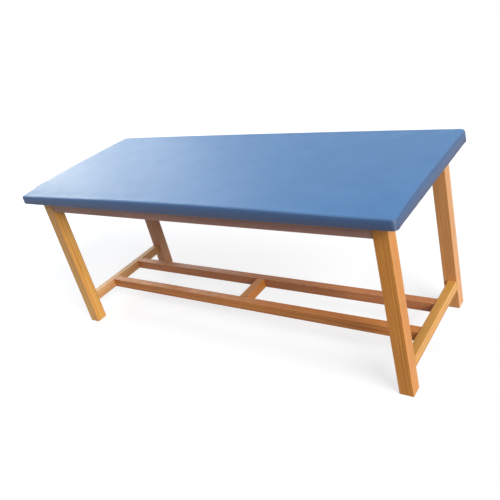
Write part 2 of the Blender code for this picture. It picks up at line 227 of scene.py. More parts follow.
# %% Tell the rays apart
FLOOR_SIZE = 40.0
FLOOR_BOUNCE = 0.22
FLOOR_SEEN_SHADING = 0.36
FLOOR_SEEN_GLOW = 0.72
WORLD_LIGHT = 0.27
WORLD_TINT = (0.83, 0.97, 1.30, 1.0)


def ray_is_seen(tree):
    """1 for rays that show the surface, directly or in a gloss or a glass, and 0 for light."""
    path = put(tree, "LightPath").outputs
    shown = count(tree, "MAXIMUM", path["Is Camera Ray"], path["Is Glossy Ray"])
    return count(tree, "MAXIMUM", shown, path["Is Transmission Ray"])


def start_material(name):
    """A new material with an empty tree."""
    material = bpy.data.materials.new(name)
    material.use_nodes = True
    material.node_tree.nodes.clear()
    return material, material.node_tree


def finish_tree(tree, output_kind, shader):
    """Links a shader to the tree's output: OutputMaterial or OutputWorld."""
    output = put(tree, output_kind)
    tree.links.new(shader.outputs[0], output.inputs["Surface"])


print("light that the floor gives back:", FLOOR_BOUNCE, "and what the camera sees of it:",
      FLOOR_SEEN_GLOW, "plus its shading")

# %% Floor and world
def close_mesh(bm, name):
    """Writes a bmesh into a new mesh and frees it."""
    mesh = bpy.data.meshes.new(name)
    bm.to_mesh(mesh)
    bm.free()
    return mesh


def make_floor():
    material, tree = start_material("studio_floor")
    seen = ray_is_seen(tree)
    body = mix_colours(tree, seen, grey(FLOOR_BOUNCE), grey(FLOOR_SEEN_SHADING))
    diffuse = put(tree, "BsdfDiffuse", body)
    glow = put(tree, "Emission", grey(1.0), count(tree, "MULTIPLY", seen, FLOOR_SEEN_GLOW))
    finish_tree(tree, "OutputMaterial",
                put(tree, "AddShader", diffuse.outputs[0], glow.outputs[0]))
    bm = bmesh.new()
    bmesh.ops.create_grid(bm, x_segments=1, y_segments=1, size=FLOOR_SIZE / 2)
    floor = add_object("floor", close_mesh(bm, "floor"))
    floor.data.materials.append(material)


def make_world():
    world = bpy.data.worlds.new("studio_world")
    world.use_nodes = True
    tree = world.node_tree
    tree.nodes.clear()
    seen = ray_is_seen(tree)
    strength = put(tree, "MapRange", seen, 0.0, 1.0, WORLD_LIGHT, 1.0).outputs[0]
    tint = mix_colours(tree, seen, WORLD_TINT, grey(1.0))
    finish_tree(tree, "OutputWorld", put(tree, "Background", tint, strength))
    bpy.context.scene.world = world


make_floor()
make_world()
bpy.context.scene.view_settings.view_transform = "Standard"
print("studio: floor", FLOOR_SIZE, "m wide, world light", WORLD_LIGHT)

# %% [markdown]
# ## Lamps
# In the photograph the faces that look right are about twice as bright as those that look to
# the front, the apron lies in the shade of the top, and the far left of the top carries a wide
# pale glare. A soft light from the right, a little to the front and about 30 degrees up, gives
# the first two, and it is low enough to reach in under the top as far as the left legs. It is a
# sun lamp with a wide angle, because that lights both ends of the long top alike. The glare is a
# bright wall seen in the vinyl at a shallow angle, so two panels stand beyond the left end, where
# the top reflects them to the camera. The lower one whitens the far end, and the higher one
# spreads the sheen towards the middle, which one panel could not do without a visible edge.

# %% Lamps
KEY_SIDEWAYS = math.radians(20)
KEY_HEIGHT = math.radians(30)
KEY_SPREAD = math.radians(36)
KEY_STRENGTH = 3.50
KEY_COLOUR = (1.0, 0.98, 0.93)
LAMP_DISTANCE = 4.0
GLARE_SIZE = 1.2
# Each panel: sideways turn, height, power in watts and colour.
GLARE_PANELS = {
    "glare_low": (math.radians(154), math.radians(17), 48, (1.0, 0.95, 0.74)),
    "glare_high": (math.radians(135), math.radians(27), 36, (0.96, 0.96, 0.92)),
}


def direction(sideways, height):
    """Sideways turns left from +X, and height rises from the floor."""
    flat = math.cos(height)
    return Vector((flat * math.cos(sideways), flat * math.sin(sideways), math.sin(height)))


def add_lamp(name, kind, place, towards):
    """Adds a lamp that shines the way given, and that the camera doesn't see."""
    lamp = add_object(name, bpy.data.lights.new(name, kind))
    lamp.matrix_world = Matrix.LocRotScale(place, towards.to_track_quat("-Z", "Y"), None)
    lamp.visible_camera = False
    return lamp.data


from_key = direction(-KEY_SIDEWAYS, KEY_HEIGHT)
key = add_lamp("key_light", "SUN", from_key * LAMP_DISTANCE, -from_key)
key.energy, key.angle = KEY_STRENGTH, KEY_SPREAD
key.color = KEY_COLOUR
left_end = Vector((cad_box[0].x, 0, cad_box[1].z))
for name, (sideways, height, power, colour) in GLARE_PANELS.items():
    from_glare = direction(sideways, height)
    glare = add_lamp(name, "AREA", left_end + from_glare * LAMP_DISTANCE, -from_glare)
    glare.size = GLARE_SIZE
    glare.energy, glare.color = power, colour

# %% [markdown]
# ## Figure in the timber
# Sawn timber is a cut through a stack of cones: each year's ring is a thin tube round the heart
# of the tree. If a shader works out the distance to that heart for any point in space, each face
# shows the right figure by itself: long lines on a side, flames where the cut grazes a ring, and
# arcs on an end. So every piece of timber stores where it lay in its own tree, in an attribute,
# and one group turns that place into rings, fibre streaks and pores.

# %% Node group: timber figure
# Lumps of noise per metre: twice across the tree, then along it.
BEND_SCALES = (6.0, 6.0, 1.1)
UNEVEN_SCALES = (48.0, 48.0, 0.0)
FAINT_SCALES = (40.0, 40.0, 2.0)
STREAK_SCALES = (260.0, 260.0, 5.0)
FIBRE_SCALES = (1300.0, 1300.0, 26.0)
PORE_SCALES = (2100.0, 2100.0, 120.0)
TONE_SCALES = (7.0, 7.0, 1.6)


def make_figure_group():
    """Rings, fibre streaks, pores and a slow change of tone, for a place in the tree."""
    group, given, out = start_group(
        "Timber figure",
        [("Tree Place", "Vector", None), ("Ring Width", "Float", 0.004),
         ("Sway", "Float", 0.010), ("Contrast", "Float", 1.0)],
        [("Rings", "Float"), ("Streaks", "Float"), ("Pores", "Float"), ("Tone", "Float")])
    place = given["Tree Place"]

    slow = reckon(group, "MULTIPLY", place, BEND_SCALES)
    bend = put(group, "TexNoise", slow, None, 1.0, 2.0, 0.5).outputs["Color"]
    bend = enlarge(group, reckon(group, "SUBTRACT", bend, (0.5, 0.5, 0.5)), given["Sway"])
    across = reckon(group, "MULTIPLY", reckon(group, "ADD", place, bend), (1.0, 1.0, 0.0))
    radius = put(group, "VectorMath", across, operation="LENGTH").outputs["Value"]
    year = count(group, "DIVIDE", radius, given["Ring Width"])
    uneven = drawn_cloud(group, across, UNEVEN_SCALES)
    season = count(group, "FRACT", count(group, "MULTIPLY_ADD", uneven, 2.6, year))
    late = ramp(group, season, 0.25, 0.86)
    close = ramp(group, season, 0.90, 1.0, 1.0, 0.0)
    rings = count(group, "MULTIPLY", late, close)
    faint = ramp(group, drawn_cloud(group, place, FAINT_SCALES), 0.30, 0.65, 0.35, 1.0)
    rings = count(group, "MULTIPLY", rings, count(group, "MULTIPLY", faint, given["Contrast"]))
    feed(group, out["Rings"], rings)

    broad = drawn_cloud(group, place, STREAK_SCALES, 3.0, 0.6)
    fine = drawn_cloud(group, place, FIBRE_SCALES, 2.0, 0.6)
    feed(group, out["Streaks"], count(group, "MULTIPLY_ADD", broad, 0.6,
                                      count(group, "MULTIPLY", fine, 0.4)))
    dashes = drawn_cloud(group, place, PORE_SCALES, 1.0)
    feed(group, out["Pores"], ramp(group, dashes, 0.66, 0.74))
    feed(group, out["Tone"], drawn_cloud(group, place, TONE_SCALES))
    return group


timber_figure = make_figure_group()
print("group:", timber_figure.name, "with", len(timber_figure.nodes), "nodes")

# %% [markdown]
# ## Wear along edges
# Varnish goes first where hands, shoes and buckets knock a corner, and dirt stays where two
# pieces meet. Both follow the distance to an edge. A painted mask would do, but it has to be
# redone for each piece. A straight piece of timber only needs its half sizes and the point's own
# place in it: the gap to the nearer long edge is the larger of the two gaps to its side planes.

# %% Node group: edge wear
def make_wear_group():
    """Two masks: worn long edges, and the line where a piece meets its neighbours."""
    group, given, out = start_group(
        "Edge wear",
        [("Own Place", "Vector", None), ("Half Size", "Vector", None),
         ("Width", "Float", 0.004), ("Patch Size", "Float", 0.03)],
        [("Worn", "Float"), ("Joint", "Float")])
    inward = reckon(group, "SUBTRACT", given["Half Size"],
                    reckon(group, "ABSOLUTE", given["Own Place"]))
    gaps = put(group, "SeparateXYZ", inward).outputs
    to_edge = count(group, "MAXIMUM", gaps[0], gaps[1])
    patch = count(group, "DIVIDE", 1.0, given["Patch Size"])
    patches = cloud(group, given["Own Place"], patch, 4.0, 0.65)
    reach = count(group, "MULTIPLY", given["Width"], ramp(group, patches, 0.36, 0.72, 0.12, 1.5))
    feed(group, out["Worn"], ramp(group, to_edge, 0.0, reach, 1.0, 0.0))
    to_joint = count(group, "MULTIPLY", gaps[2], count(group, "ADD", patches, 0.5))
    feed(group, out["Joint"], ramp(group, to_joint, 0.0, given["Width"], 1.0, 0.0))
    return group


edge_wear = make_wear_group()
print("group:", edge_wear.name, "with", len(edge_wear.nodes), "nodes")

# %% [markdown]
# ## The varnish film
# Brushed varnish isn't flat. The bristles leave shallow furrows along the piece, the film sinks
# a little over open grain, and dust dries into it as small nibs. The film is the coat layer of
# the shader, so its relief feeds a bump of its own, finer than the timber's below it.

# %% Node group: varnish film
FURROW_SCALES = (420.0, 420.0, 3.0)
POOL_SCALE = 34.0
NIB_SCALE = 380.0


def make_film_group():
    """The height of brushed varnish, and where it lies dull."""
    group, given, out = start_group(
        "Varnish film",
        [("Own Place", "Vector", None)],
        [("Height", "Float"), ("Dullness", "Float")])
    place = given["Own Place"]
    furrows = drawn_cloud(group, place, FURROW_SCALES)
    pooling = cloud(group, place, POOL_SCALE, 3.0)
    nibs = ramp(group, cloud(group, place, NIB_SCALE, 1.0), 0.72, 0.80)
    relief = count(group, "ADD", count(group, "MULTIPLY", furrows, 0.55),
                   count(group, "MULTIPLY", pooling, 0.45))
    feed(group, out["Height"], count(group, "ADD", relief, nibs))
    feed(group, out["Dullness"], ramp(group, pooling, 0.30, 0.70))
    return group


varnish_film = make_film_group()
print("group:", varnish_film.name, "with", len(varnish_film.nodes), "nodes")

# %% [markdown]
# ## Varnished timber
# The frame is a honey-coloured timber under orange varnish. The late wood of each ring is
# darker and redder, worn edges go pale and dull, and a thin dark line of old varnish and dirt
# sits at each joint. Shoes rest on the low stretchers, so the varnish on their upper faces is
# scuffed dull, and the same faces are painted darker as painted shade from the top above them.
# Each piece has a tone too, partly its board's own colour and partly painted light and shade:
# pale at the left end as a painted reflection of glare, darker and redder in the long
# stretchers, and browner and bluer in the aprons and back legs, both as painted shade under the
# top. The tone is stored on the piece, so that one material serves the whole frame.

# %% Material: varnished timber
TIMBER_SPECULAR = 0.15
TIMBER_COAT_ROUGHNESS = 0.24
TIMBER_COAT_IOR = 1.4
TIMBER_GRAIN_DEPTH = 0.10 * MM
FILM_DEPTH = 0.07 * MM
# Low upward faces get scuffs and painted shade from the top above, between these heights in metres.
SCUFF_AND_SHADE_REACH = (200 * MM, 300 * MM)
SCUFF_AND_SHADE_PATCH_SCALE = 24.0
PORE_BROWN = shade(78, 40, 20)
BARE_TIMBER = shade(226, 176, 116)
# The colour of the low upward faces: scuffed varnish and painted shade from the top above.
SCUFFED_AND_SHADED_TIMBER = shade(128, 84, 52)
JOINT_DIRT = shade(86, 44, 24)


def attribute(tree, name, output="Vector"):
    """What a piece stores under this name: Vector for three numbers and Fac for one."""
    return put(tree, "Attribute", attribute_type="GEOMETRY", attribute_name=name).outputs[output]


def object_place(tree):
    """The point's place in the frame, in metres, because every piece sits at the origin."""
    return put(tree, "TexCoord").outputs["Object"]


def lay_over(tree, colour, *layers):
    """Lays paints over a colour, each where its mask is 1 and as strongly as its share says."""
    for mask, share, paint in layers:
        colour = mix_colours(tree, count(tree, "MULTIPLY", mask, share), colour, paint)
    return colour


def bump(tree, height, depth, under=None):
    """Relief of this depth in metres, which can lie over another relief."""
    return put(tree, "Bump", 1.0, depth, None, height, under).outputs[0]


def finish_surface(tree, **inputs):
    """Closes a material with the Principled shader."""
    shader = put(tree, "BsdfPrincipled")
    feed_named(tree, shader, inputs)
    finish_tree(tree, "OutputMaterial", shader)


def shoe_scuffs_and_painted_shade(tree):
    """1 on faces that look up near the floor, in worn patches, and 0 elsewhere: shoe scuffs that
    dull the coat, and painted shade from the top above that darkens the colour there.
    """
    place = object_place(tree)
    height = put(tree, "SeparateXYZ", place).outputs["Z"]
    facing = put(tree, "SeparateXYZ", put(tree, "TexCoord").outputs["Normal"]).outputs["Z"]
    low_top = count(tree, "MULTIPLY", ramp(tree, facing, 0.6, 0.95),
                    ramp(tree, height, *SCUFF_AND_SHADE_REACH, 1.0, 0.0))
    patches = cloud(tree, place, SCUFF_AND_SHADE_PATCH_SCALE, 3.0)
    return count(tree, "MULTIPLY", low_top, ramp(tree, patches, 0.3, 0.6, 0.5, 1.0))


def make_timber(name, early, late, ring_width, coat, roughness, wear_width):
    """Early and late are the colours of a ring's two halves; the widths are in metres."""
    material, tree = start_material(name)
    own = attribute(tree, "own_place")
    figure = use_group(tree, timber_figure, Tree_Place=attribute(tree, "tree_place"),
                       Ring_Width=ring_width)
    wear = use_group(tree, edge_wear, Own_Place=own, Half_Size=attribute(tree, "half_size"),
                     Width=wear_width)
    film = use_group(tree, varnish_film, Own_Place=own)

    colour = mix_colours(tree, figure["Rings"], early, late)
    colour = mix_colours(tree, 0.34, colour,
                         put(tree, "ValToRGB", figure["Streaks"]).outputs[0], "OVERLAY")
    tone = ramp(tree, figure["Tone"], 0.25, 0.75, 0.86, 1.12)
    colour = mix_colours(tree, 1.0, colour, put(tree, "CombineColor", tone, tone, tone).outputs[0],
                         "MULTIPLY")
    # The board's tone multiplies in painted light and shade along with the board's own colour.
    colour = mix_colours(tree, 1.0, colour, attribute(tree, "board_tone_and_painted_light"), "MULTIPLY")
    # The scuffs dull the coat, and they also darken the colour as painted shade from the top above.
    scuffs = shoe_scuffs_and_painted_shade(tree)
    colour = lay_over(tree, colour, (figure["Pores"], 0.45, PORE_BROWN),
                      (wear["Worn"], 0.40, BARE_TIMBER), (scuffs, 0.15, SCUFFED_AND_SHADED_TIMBER),
                      (wear["Joint"], 0.55, JOINT_DIRT))

    grain = count(tree, "SUBTRACT", figure["Streaks"], figure["Pores"])
    dull = count(tree, "MULTIPLY_ADD", film["Dullness"], 0.10, roughness)
    dry = count(tree, "MAXIMUM", wear["Worn"], scuffs)
    finish_surface(
        tree, Base_Color=colour,
        Roughness=count(tree, "MULTIPLY_ADD", wear["Worn"], 0.15, dull),
        Normal=bump(tree, grain, TIMBER_GRAIN_DEPTH),
        Specular_IOR_Level=TIMBER_SPECULAR,
        Coat_Weight=ramp(tree, dry, 0.0, 1.0, coat, coat * 0.3),
        Coat_Roughness=TIMBER_COAT_ROUGHNESS,
        Coat_IOR=TIMBER_COAT_IOR,
        Coat_Normal=bump(tree, film["Height"], FILM_DEPTH))
    return material


varnished_timber = make_timber("varnished_timber", shade(219, 154, 66), shade(192, 115, 42),
                               ring_width=0.0046, coat=0.24, roughness=0.40, wear_width=0.0045)
sealed_timber = make_timber("sealed_timber", shade(222, 158, 86), shade(192, 120, 58),
                            ring_width=0.0052, coat=0.25, roughness=0.52, wear_width=0.0030)
print("materials:", varnished_timber.name, "and", sealed_timber.name)

# %% [markdown]
# ## Timber pieces
# A frame piece is stored as loose triangles, so it can't be rounded or shaded well as it is. A
# copy is merged at its corners, flat neighbours are joined to whole faces, and its saw-sharp
# edges get a fine bevel, as a pass with sandpaper gives. Mortises and tenons stay as they are.
# Each piece also stores what the timber material reads: its place in itself and in its tree, its
# half size and its tone, which carries painted light and shade as well as the board's colour.

# %% Turn frame triangles into whole faces
MERGE_DISTANCE = 0.02 * MM
FLAT_ANGLE = math.radians(1.0)
SHARP_ANGLE = math.radians(40)
SANDED_EDGE = 0.35 * MM
SANDED_SEGMENTS = 2
ALONG = {"x": 0, "y": 1, "z": 2}


def merged_copy(node):
    """A frame node's shape with its corners merged and its flat neighbours joined."""
    bm = bmesh.new()
    bm.from_mesh(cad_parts[node].data)
    bmesh.ops.remove_doubles(bm, verts=bm.verts, dist=MERGE_DISTANCE)
    bmesh.ops.dissolve_limit(bm, angle_limit=FLAT_ANGLE, verts=bm.verts, edges=bm.edges)
    return bm


def sand_edges(bm, shortest=0.0):
    """Rounds the sharp edges that are longer than the length given."""
    sharp = [edge for edge in bm.edges if edge.is_convex and edge.calc_length() > shortest
             and edge.calc_face_angle(0) > SHARP_ANGLE]
    bmesh.ops.bevel(bm, geom=sharp, offset=SANDED_EDGE, offset_type="OFFSET", affect="EDGES",
                    segments=SANDED_SEGMENTS, profile=0.5, material=-1, clamp_overlap=True)


def finish_piece(bm, name, material, stands_for=()):
    """Makes the object, lets it ride on the frame and hides the nodes that it stands for."""
    mesh = close_mesh(bm, name)
    mesh.materials.append(material)
    mesh.shade_smooth()
    mesh.set_sharp_from_angle(angle=SHARP_ANGLE)
    piece = add_object(name, mesh)
    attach(piece, "root")
    if stands_for:
        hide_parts(*stands_for)
    return piece


def keep_faces_flat(piece):
    """Lets the wide faces set the shading, so that a narrow bevel doesn't bend their light."""
    flat = piece.modifiers.new("flat_faces", "WEIGHTED_NORMAL")
    flat.keep_sharp = True


sample = merged_copy("leg_front_left")
print("leg_front_left:", len(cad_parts["leg_front_left"].data.polygons),
      "triangles in the frame, joined to", len(sample.faces), "whole faces")
sample.free()

# %% Store each piece's place in its tree
# Where the tree's heart lies beside each board, in metres.
HEART_OFFSETS = ((0.062, 0.021), (-0.038, 0.074), (0.017, -0.066), (-0.081, -0.030),
                 (0.045, 0.058), (-0.055, 0.012), (0.009, 0.090))
TREE_STEP = 1.37
PLAIN_TONE = (1.0, 1.0, 1.0)
# A tone for each board, partly its own colour and partly painted light and shade: paler where a
# piece stood in glare, darker and bluer where the top shades it.
BOARD_TONES_AND_PAINTED_LIGHT = {
    "leg_front_left": (1.13, 1.31, 2.00),
    "leg_front_right": (1.14, 1.04, 1.10),
    "leg_back_left": (0.99, 1.09, 3.30),
    "leg_back_right": (1.10, 1.20, 2.50),
    "apron_front": (0.75, 0.88, 3.90),
    "apron_back": (0.76, 0.86, 2.40),
    "apron_left_end": (0.84, 0.88, 1.80),
    "apron_right_end": (0.92, 0.98, 1.40),
    "stretcher_left_end": (0.99, 1.24, 3.20),
    "stretcher_right_end": (1.08, 1.22, 1.60),
    "stretcher_front_long": (0.88, 0.72, 1.00),
    "stretcher_back_long": (0.87, 0.77, 1.80),
    "stretcher_brace": (0.86, 0.74, 0.90),
}


def write_vectors(mesh, name, vectors):
    """Stores one vector for each point, in a new attribute or over what it held."""
    layer = mesh.attributes.get(name) or mesh.attributes.new(name, "FLOAT_VECTOR", "POINT")
    layer.data.foreach_set("vector", [part for vector in vectors for part in vector])


def lay_grain(piece, number, middle, ways, half_size, tone=PLAIN_TONE):
    """Writes what the timber materials read; ways are across, across and along, and the tone
    carries painted light and shade as well as the board's colour.
    """
    turn = Matrix(ways)
    own = [turn @ (vert.co - middle) for vert in piece.data.vertices]
    aside, deep = HEART_OFFSETS[number % len(HEART_OFFSETS)]
    heart = Vector((aside, deep, number * TREE_STEP))
    write_vectors(piece.data, "own_place", own)
    write_vectors(piece.data, "tree_place", [point + heart for point in own])
    write_vectors(piece.data, "half_size", [half_size] * len(own))
    # The tone is partly the board's colour and partly painted light and shade.
    write_vectors(piece.data, "board_tone_and_painted_light", [tone] * len(own))


def straight_ways(axis):
    """The two directions across a straight piece and the one along it, in that order."""
    along = ALONG[axis]
    order = ((along + 1) % 3, (along + 2) % 3, along)
    return [[1.0 if column == row else 0.0 for column in range(3)] for row in order]


print("tones for", len(BOARD_TONES_AND_PAINTED_LIGHT), "boards; the others keep the timber's own colour")

# %% Legs and rails
def dress_straight(node, number, axis, body_low, body_high, material):
    """A leg or rail: its node's shape, with its body's ends given for the joint lines."""
    bm = merged_copy(node)
    sand_edges(bm)
    piece = finish_piece(bm, node + "_timber", material, [node])
    keep_faces_flat(piece)
    low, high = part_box(node)
    low[ALONG[axis]], high[ALONG[axis]] = body_low, body_high
    middle, half = (low + high) / 2, (high - low) / 2
    ways = straight_ways(axis)
    # Each board's tone also carries painted light and shade.
    lay_grain(piece, number, middle, ways, Matrix(ways) @ half, BOARD_TONES_AND_PAINTED_LIGHT.get(node, PLAIN_TONE))


LEGS = [f"leg_{side}_{end}" for side in ("front", "back") for end in ("left", "right")]
# Each rail: the way it runs, and the pieces that hold its low and its high end.
RAILS = {
    "apron_front": ("x", "leg_front_left", "leg_front_right"),
    "apron_back": ("x", "leg_back_left", "leg_back_right"),
    "apron_left_end": ("y", "leg_front_left", "leg_back_left"),
    "apron_right_end": ("y", "leg_front_right", "leg_back_right"),
    "stretcher_left_end": ("y", "leg_front_left", "leg_back_left"),
    "stretcher_right_end": ("y", "leg_front_right", "leg_back_right"),
    "stretcher_front_long": ("x", "stretcher_left_end", "stretcher_right_end"),
    "stretcher_back_long": ("x", "stretcher_left_end", "stretcher_right_end"),
    "stretcher_brace": ("y", "stretcher_front_long", "stretcher_back_long"),
    "bearer_1": ("y", "apron_front", "apron_back"),
    "bearer_2": ("y", "apron_front", "apron_back"),
    "bearer_3": ("y", "apron_front", "apron_back"),
}

for number, leg in enumerate(LEGS):
    dress_straight(leg, number, "z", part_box(leg)[0].z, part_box(leg)[1].z, varnished_timber)
for number, (rail, (axis, low_host, high_host)) in enumerate(RAILS.items(), start=len(LEGS)):
    finish = sealed_timber if rail.startswith("bearer") else varnished_timber
    dress_straight(rail, number, axis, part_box(low_host)[1][ALONG[axis]],
                   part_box(high_host)[0][ALONG[axis]], finish)
print("timber:", len(LEGS), "legs and", len(RAILS), "rails")

# %% Corner blocks
BLOCKS = [leg.replace("leg", "corner_block") for leg in LEGS]
DIAGONAL = math.sqrt(0.5)
LONGEST_HOLE_EDGE = 4.0 * MM


def dress_block(node, number):
    """A block lies across its corner, with its grain along the diagonal and crisp drilled holes."""
    bm = merged_copy(node)
    sand_edges(bm, LONGEST_HOLE_EDGE)
    piece = finish_piece(bm, node + "_timber", sealed_timber, [node])
    keep_faces_flat(piece)
    low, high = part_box(node)
    middle = (low + high) / 2
    lean = math.copysign(DIAGONAL, middle.x * middle.y)
    ways = [[DIAGONAL, lean, 0.0], [0.0, 0.0, 1.0], [DIAGONAL, -lean, 0.0]]
    reach = [Matrix(ways) @ (vert.co - middle) for vert in piece.data.vertices]
    half = Vector([max(abs(point[i]) for point in reach) for i in range(3)])
    lay_grain(piece, number, middle, ways, half)


for number, block in enumerate(BLOCKS, start=len(LEGS) + len(RAILS)):
    dress_block(block, number)
print("timber:", len(BLOCKS), "corner blocks")

# %% [markdown]
# ## Plywood board
# The board under the foam shows only from below, between the aprons. Plywood faces are peeled
# off a turning log, so one ring spreads over a wide patch and the figure is broad and wavy. The
# same figure group serves, with the tree's heart far below and the sheet a skin round it. The
# board's lower edge is rounded off, so that it can't cut the vinyl that is pulled round it.

# %% Material and piece: plywood board
PEELING_RADIUS = 0.16
PEELING_SPREAD = 0.25
PLYWOOD_RING = 0.0011
PLYWOOD_GRAIN_DEPTH = 0.12 * MM
BOARD_SOFT_EDGE = 4.0 * MM
BOARD_EDGE_STEPS = 4


def make_plywood():
    material, tree = start_material("plywood_face")
    figure = use_group(tree, timber_figure, Tree_Place=attribute(tree, "tree_place"),
                       Ring_Width=PLYWOOD_RING, Sway=0.016, Contrast=0.7)
    film = use_group(tree, varnish_film, Own_Place=attribute(tree, "own_place"))
    colour = mix_colours(tree, figure["Rings"], shade(206, 168, 122), shade(172, 126, 84))
    colour = lay_over(tree, colour, (figure["Streaks"], 0.35, shade(150, 106, 70)),
                      (figure["Pores"], 0.5, shade(110, 74, 48)))
    finish_surface(tree, Base_Color=colour,
                   Roughness=ramp(tree, film["Dullness"], 0.0, 1.0, 0.62, 0.78),
                   Normal=bump(tree, figure["Streaks"], PLYWOOD_GRAIN_DEPTH))
    return material


def is_on_outline(point, low, high):
    """True on the board's lower edge, and false round the screw holes."""
    beside = min(point.x - low.x, high.x - point.x, point.y - low.y, high.y - point.y)
    return point.z < low.z + MM and beside < MM


def dress_board():
    """The board with its lower edge rounded off, then sanded like the other timber."""
    low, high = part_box("top_board")
    bm = merged_copy("top_board")
    outline = [edge for edge in bm.edges if all(is_on_outline(vert.co, low, high)
                                                for vert in edge.verts)]
    bmesh.ops.bevel(bm, geom=outline, offset=BOARD_SOFT_EDGE, offset_type="OFFSET",
                    affect="EDGES", segments=BOARD_EDGE_STEPS, profile=0.5, material=-1)
    bmesh.ops.remove_doubles(bm, verts=bm.verts, dist=MERGE_DISTANCE)
    sand_edges(bm)
    piece = finish_piece(bm, "plywood_board", make_plywood(), ["top_board"])
    keep_faces_flat(piece)
    middle, half = (low + high) / 2, (high - low) / 2
    ways = straight_ways("x")
    lay_grain(piece, 0, middle, ways, Matrix(ways) @ half)
    places = [vert.co for vert in piece.data.vertices]
    write_vectors(piece.data, "tree_place",
                  [(co.y * PEELING_SPREAD, PEELING_RADIUS + co.z, co.x) for co in places])


dress_board()

# %% [markdown]
# ## Vinyl leathercloth
# The skin is a PVC film on a knitted back, embossed with a fine leather grain: small pebbles
# about a millimetre wide with narrow valleys, which are painted darker as painted shade. It is
# smooth enough for a broad sheen, which is why the far end of the top turns pale. Where it is
# pulled over an edge the grain flattens and the blue there is painted a little darker, partly
# for the pull and partly as painted shade on the rounding, and soft handling leaves faint clouds
# in the colour. The top is painted lighter than the sides, which have a deeper, greyer blue that
# darkens towards the bottom, as painted light and shade, and knocks have scuffed the upright
# corners pale.

# %% Node group: leather grain
def make_grain_group():
    """Pebbles with narrow valleys between them, stirred so that they don't line up."""
    group, given, out = start_group(
        "Leather grain",
        [("Place", "Vector", None), ("Pebble Size", "Float", 0.0011)],
        [("Height", "Float"), ("Valleys", "Float")])
    scale = count(group, "DIVIDE", 1.0, given["Pebble Size"])
    stir = put(group, "TexNoise", given["Place"], None, scale, 1.0, 0.5).outputs["Color"]
    stir = enlarge(group, stir, given["Pebble Size"])
    cells = put(group, "TexVoronoi", reckon(group, "ADD", given["Place"], stir), None, scale,
                feature="DISTANCE_TO_EDGE").outputs["Distance"]
    pebbles = ramp(group, cells, 0.0, 0.22)
    feed(group, out["Height"], pebbles)
    feed(group, out["Valleys"], count(group, "SUBTRACT", 1.0, pebbles))
    return group


leather_grain = make_grain_group()
print("group:", leather_grain.name, "with", len(leather_grain.nodes), "nodes")

# %% Material: blue vinyl
# Masks that the skin stores: the pulled upper edges, which also carry painted shade, the share of
# painted light by height, and the knocked corners.
SKIN_MASKS = ("stretch_and_shade", "painted_light_share", "rubbed")
SIDE_LIGHT_SHARE = 0.5
VINYL_SPECULAR = 0.36
VINYL_GRAIN_DEPTH = 0.09 * MM
HANDLING_DEPTH = 0.15 * MM
CLOUD_SCALE = 9.0
SMUDGE_SCALE = 38.0
# The top's lit blues, and the sides' blues from the bottom up, which are painted shade.
LIT_TOP_BLUES = (shade(83, 136, 188), shade(88, 141, 193))
SHADED_SIDE_BLUES = (shade(72, 81, 107), shade(65, 93, 132))
SMUDGED_BLUE = shade(90, 130, 174)
# The grain's valleys are painted darker as painted shade.
VALLEY_SHADE_BLUE = shade(44, 78, 128)
STRETCHED_AND_SHADED_BLUE = shade(74, 100, 138)
SCUFFED_VINYL = shade(142, 148, 166)


def make_vinyl():
    material, tree = start_material("blue_vinyl")
    place = object_place(tree)
    grain = use_group(tree, leather_grain, Place=place)
    stretch_and_shade, painted_light_share, rubbed = [attribute(tree, name, "Fac") for name in SKIN_MASKS]
    clouds = cloud(tree, place, CLOUD_SCALE, 4.0, 0.55)
    smudges = cloud(tree, place, SMUDGE_SCALE, 3.0, 0.6)

    # Painted light and shade: the top gets the lighter blues, the sides the darker ones, darkest at
    # the bottom.
    top = mix_colours(tree, ramp(tree, clouds, 0.30, 0.70), *LIT_TOP_BLUES)
    side = mix_colours(tree, ramp(tree, painted_light_share, 0.0, SIDE_LIGHT_SHARE), *SHADED_SIDE_BLUES)
    colour = mix_colours(tree, ramp(tree, painted_light_share, SIDE_LIGHT_SHARE, 1.0), side, top)
    scuffs = ramp(tree, smudges, 0.3, 0.6, 0.15, 0.5)
    # The valleys and the pulled edges are painted darker, partly as painted shade.
    colour = lay_over(tree, colour, (ramp(tree, smudges, 0.5, 0.8), 0.08, SMUDGED_BLUE),
                      (grain["Valleys"], 0.22, VALLEY_SHADE_BLUE), (stretch_and_shade, 0.45, STRETCHED_AND_SHADED_BLUE),
                      (rubbed, scuffs, SCUFFED_VINYL))

    relief = bump(tree, grain["Height"], VINYL_GRAIN_DEPTH)
    gloss = ramp(tree, smudges, 0.3, 0.8, 0.45, 0.49)
    finish_surface(tree, Base_Color=colour,
                   Roughness=count(tree, "MULTIPLY_ADD", stretch_and_shade, -0.06, gloss),
                   Normal=bump(tree, smudges, HANDLING_DEPTH, relief),
                   Specular_IOR_Level=VINYL_SPECULAR)
    return material


blue_vinyl = make_vinyl()
print("material:", blue_vinyl.name)

# %% [markdown]
# ## The form of the padded top
# The top is a block with soft edges: about 11 mm round along the upper edges, 18 mm at the
# upright corners and 6 mm where it turns under the board. Its crown is low. The foam is tired
# along the front, where people sit down, and most of all at the two front corners. The block
# could be bevelled, but the skin also needs even rows of small faces, for the cloth and for the
# fine surface. So a plain block is cut into rows by planes, close together near the edges, and
# each point then slides onto the rounded form.

# %% Measures of the top
SIDE_SWELL = 2.0 * MM
END_FALL = 3.0 * MM
SIDE_FALL = 3.0 * MM
FRONT_FALL = 3.5 * MM
# Each seat: its depth, its place along the front from -1 to 1, and its reach along and across.
SEATS = ((7.0 * MM, 0.88, 0.38, 0.25), (6.5 * MM, -1.00, 0.50, 0.22))
EDGE_RADIUS = 11.0 * MM
CORNER_RADIUS = 18.0 * MM
UNDER_RADIUS = 6.0 * MM
SKIN_THICKNESS = 1.2 * MM
FOLD_WIDTH = 40.0 * MM

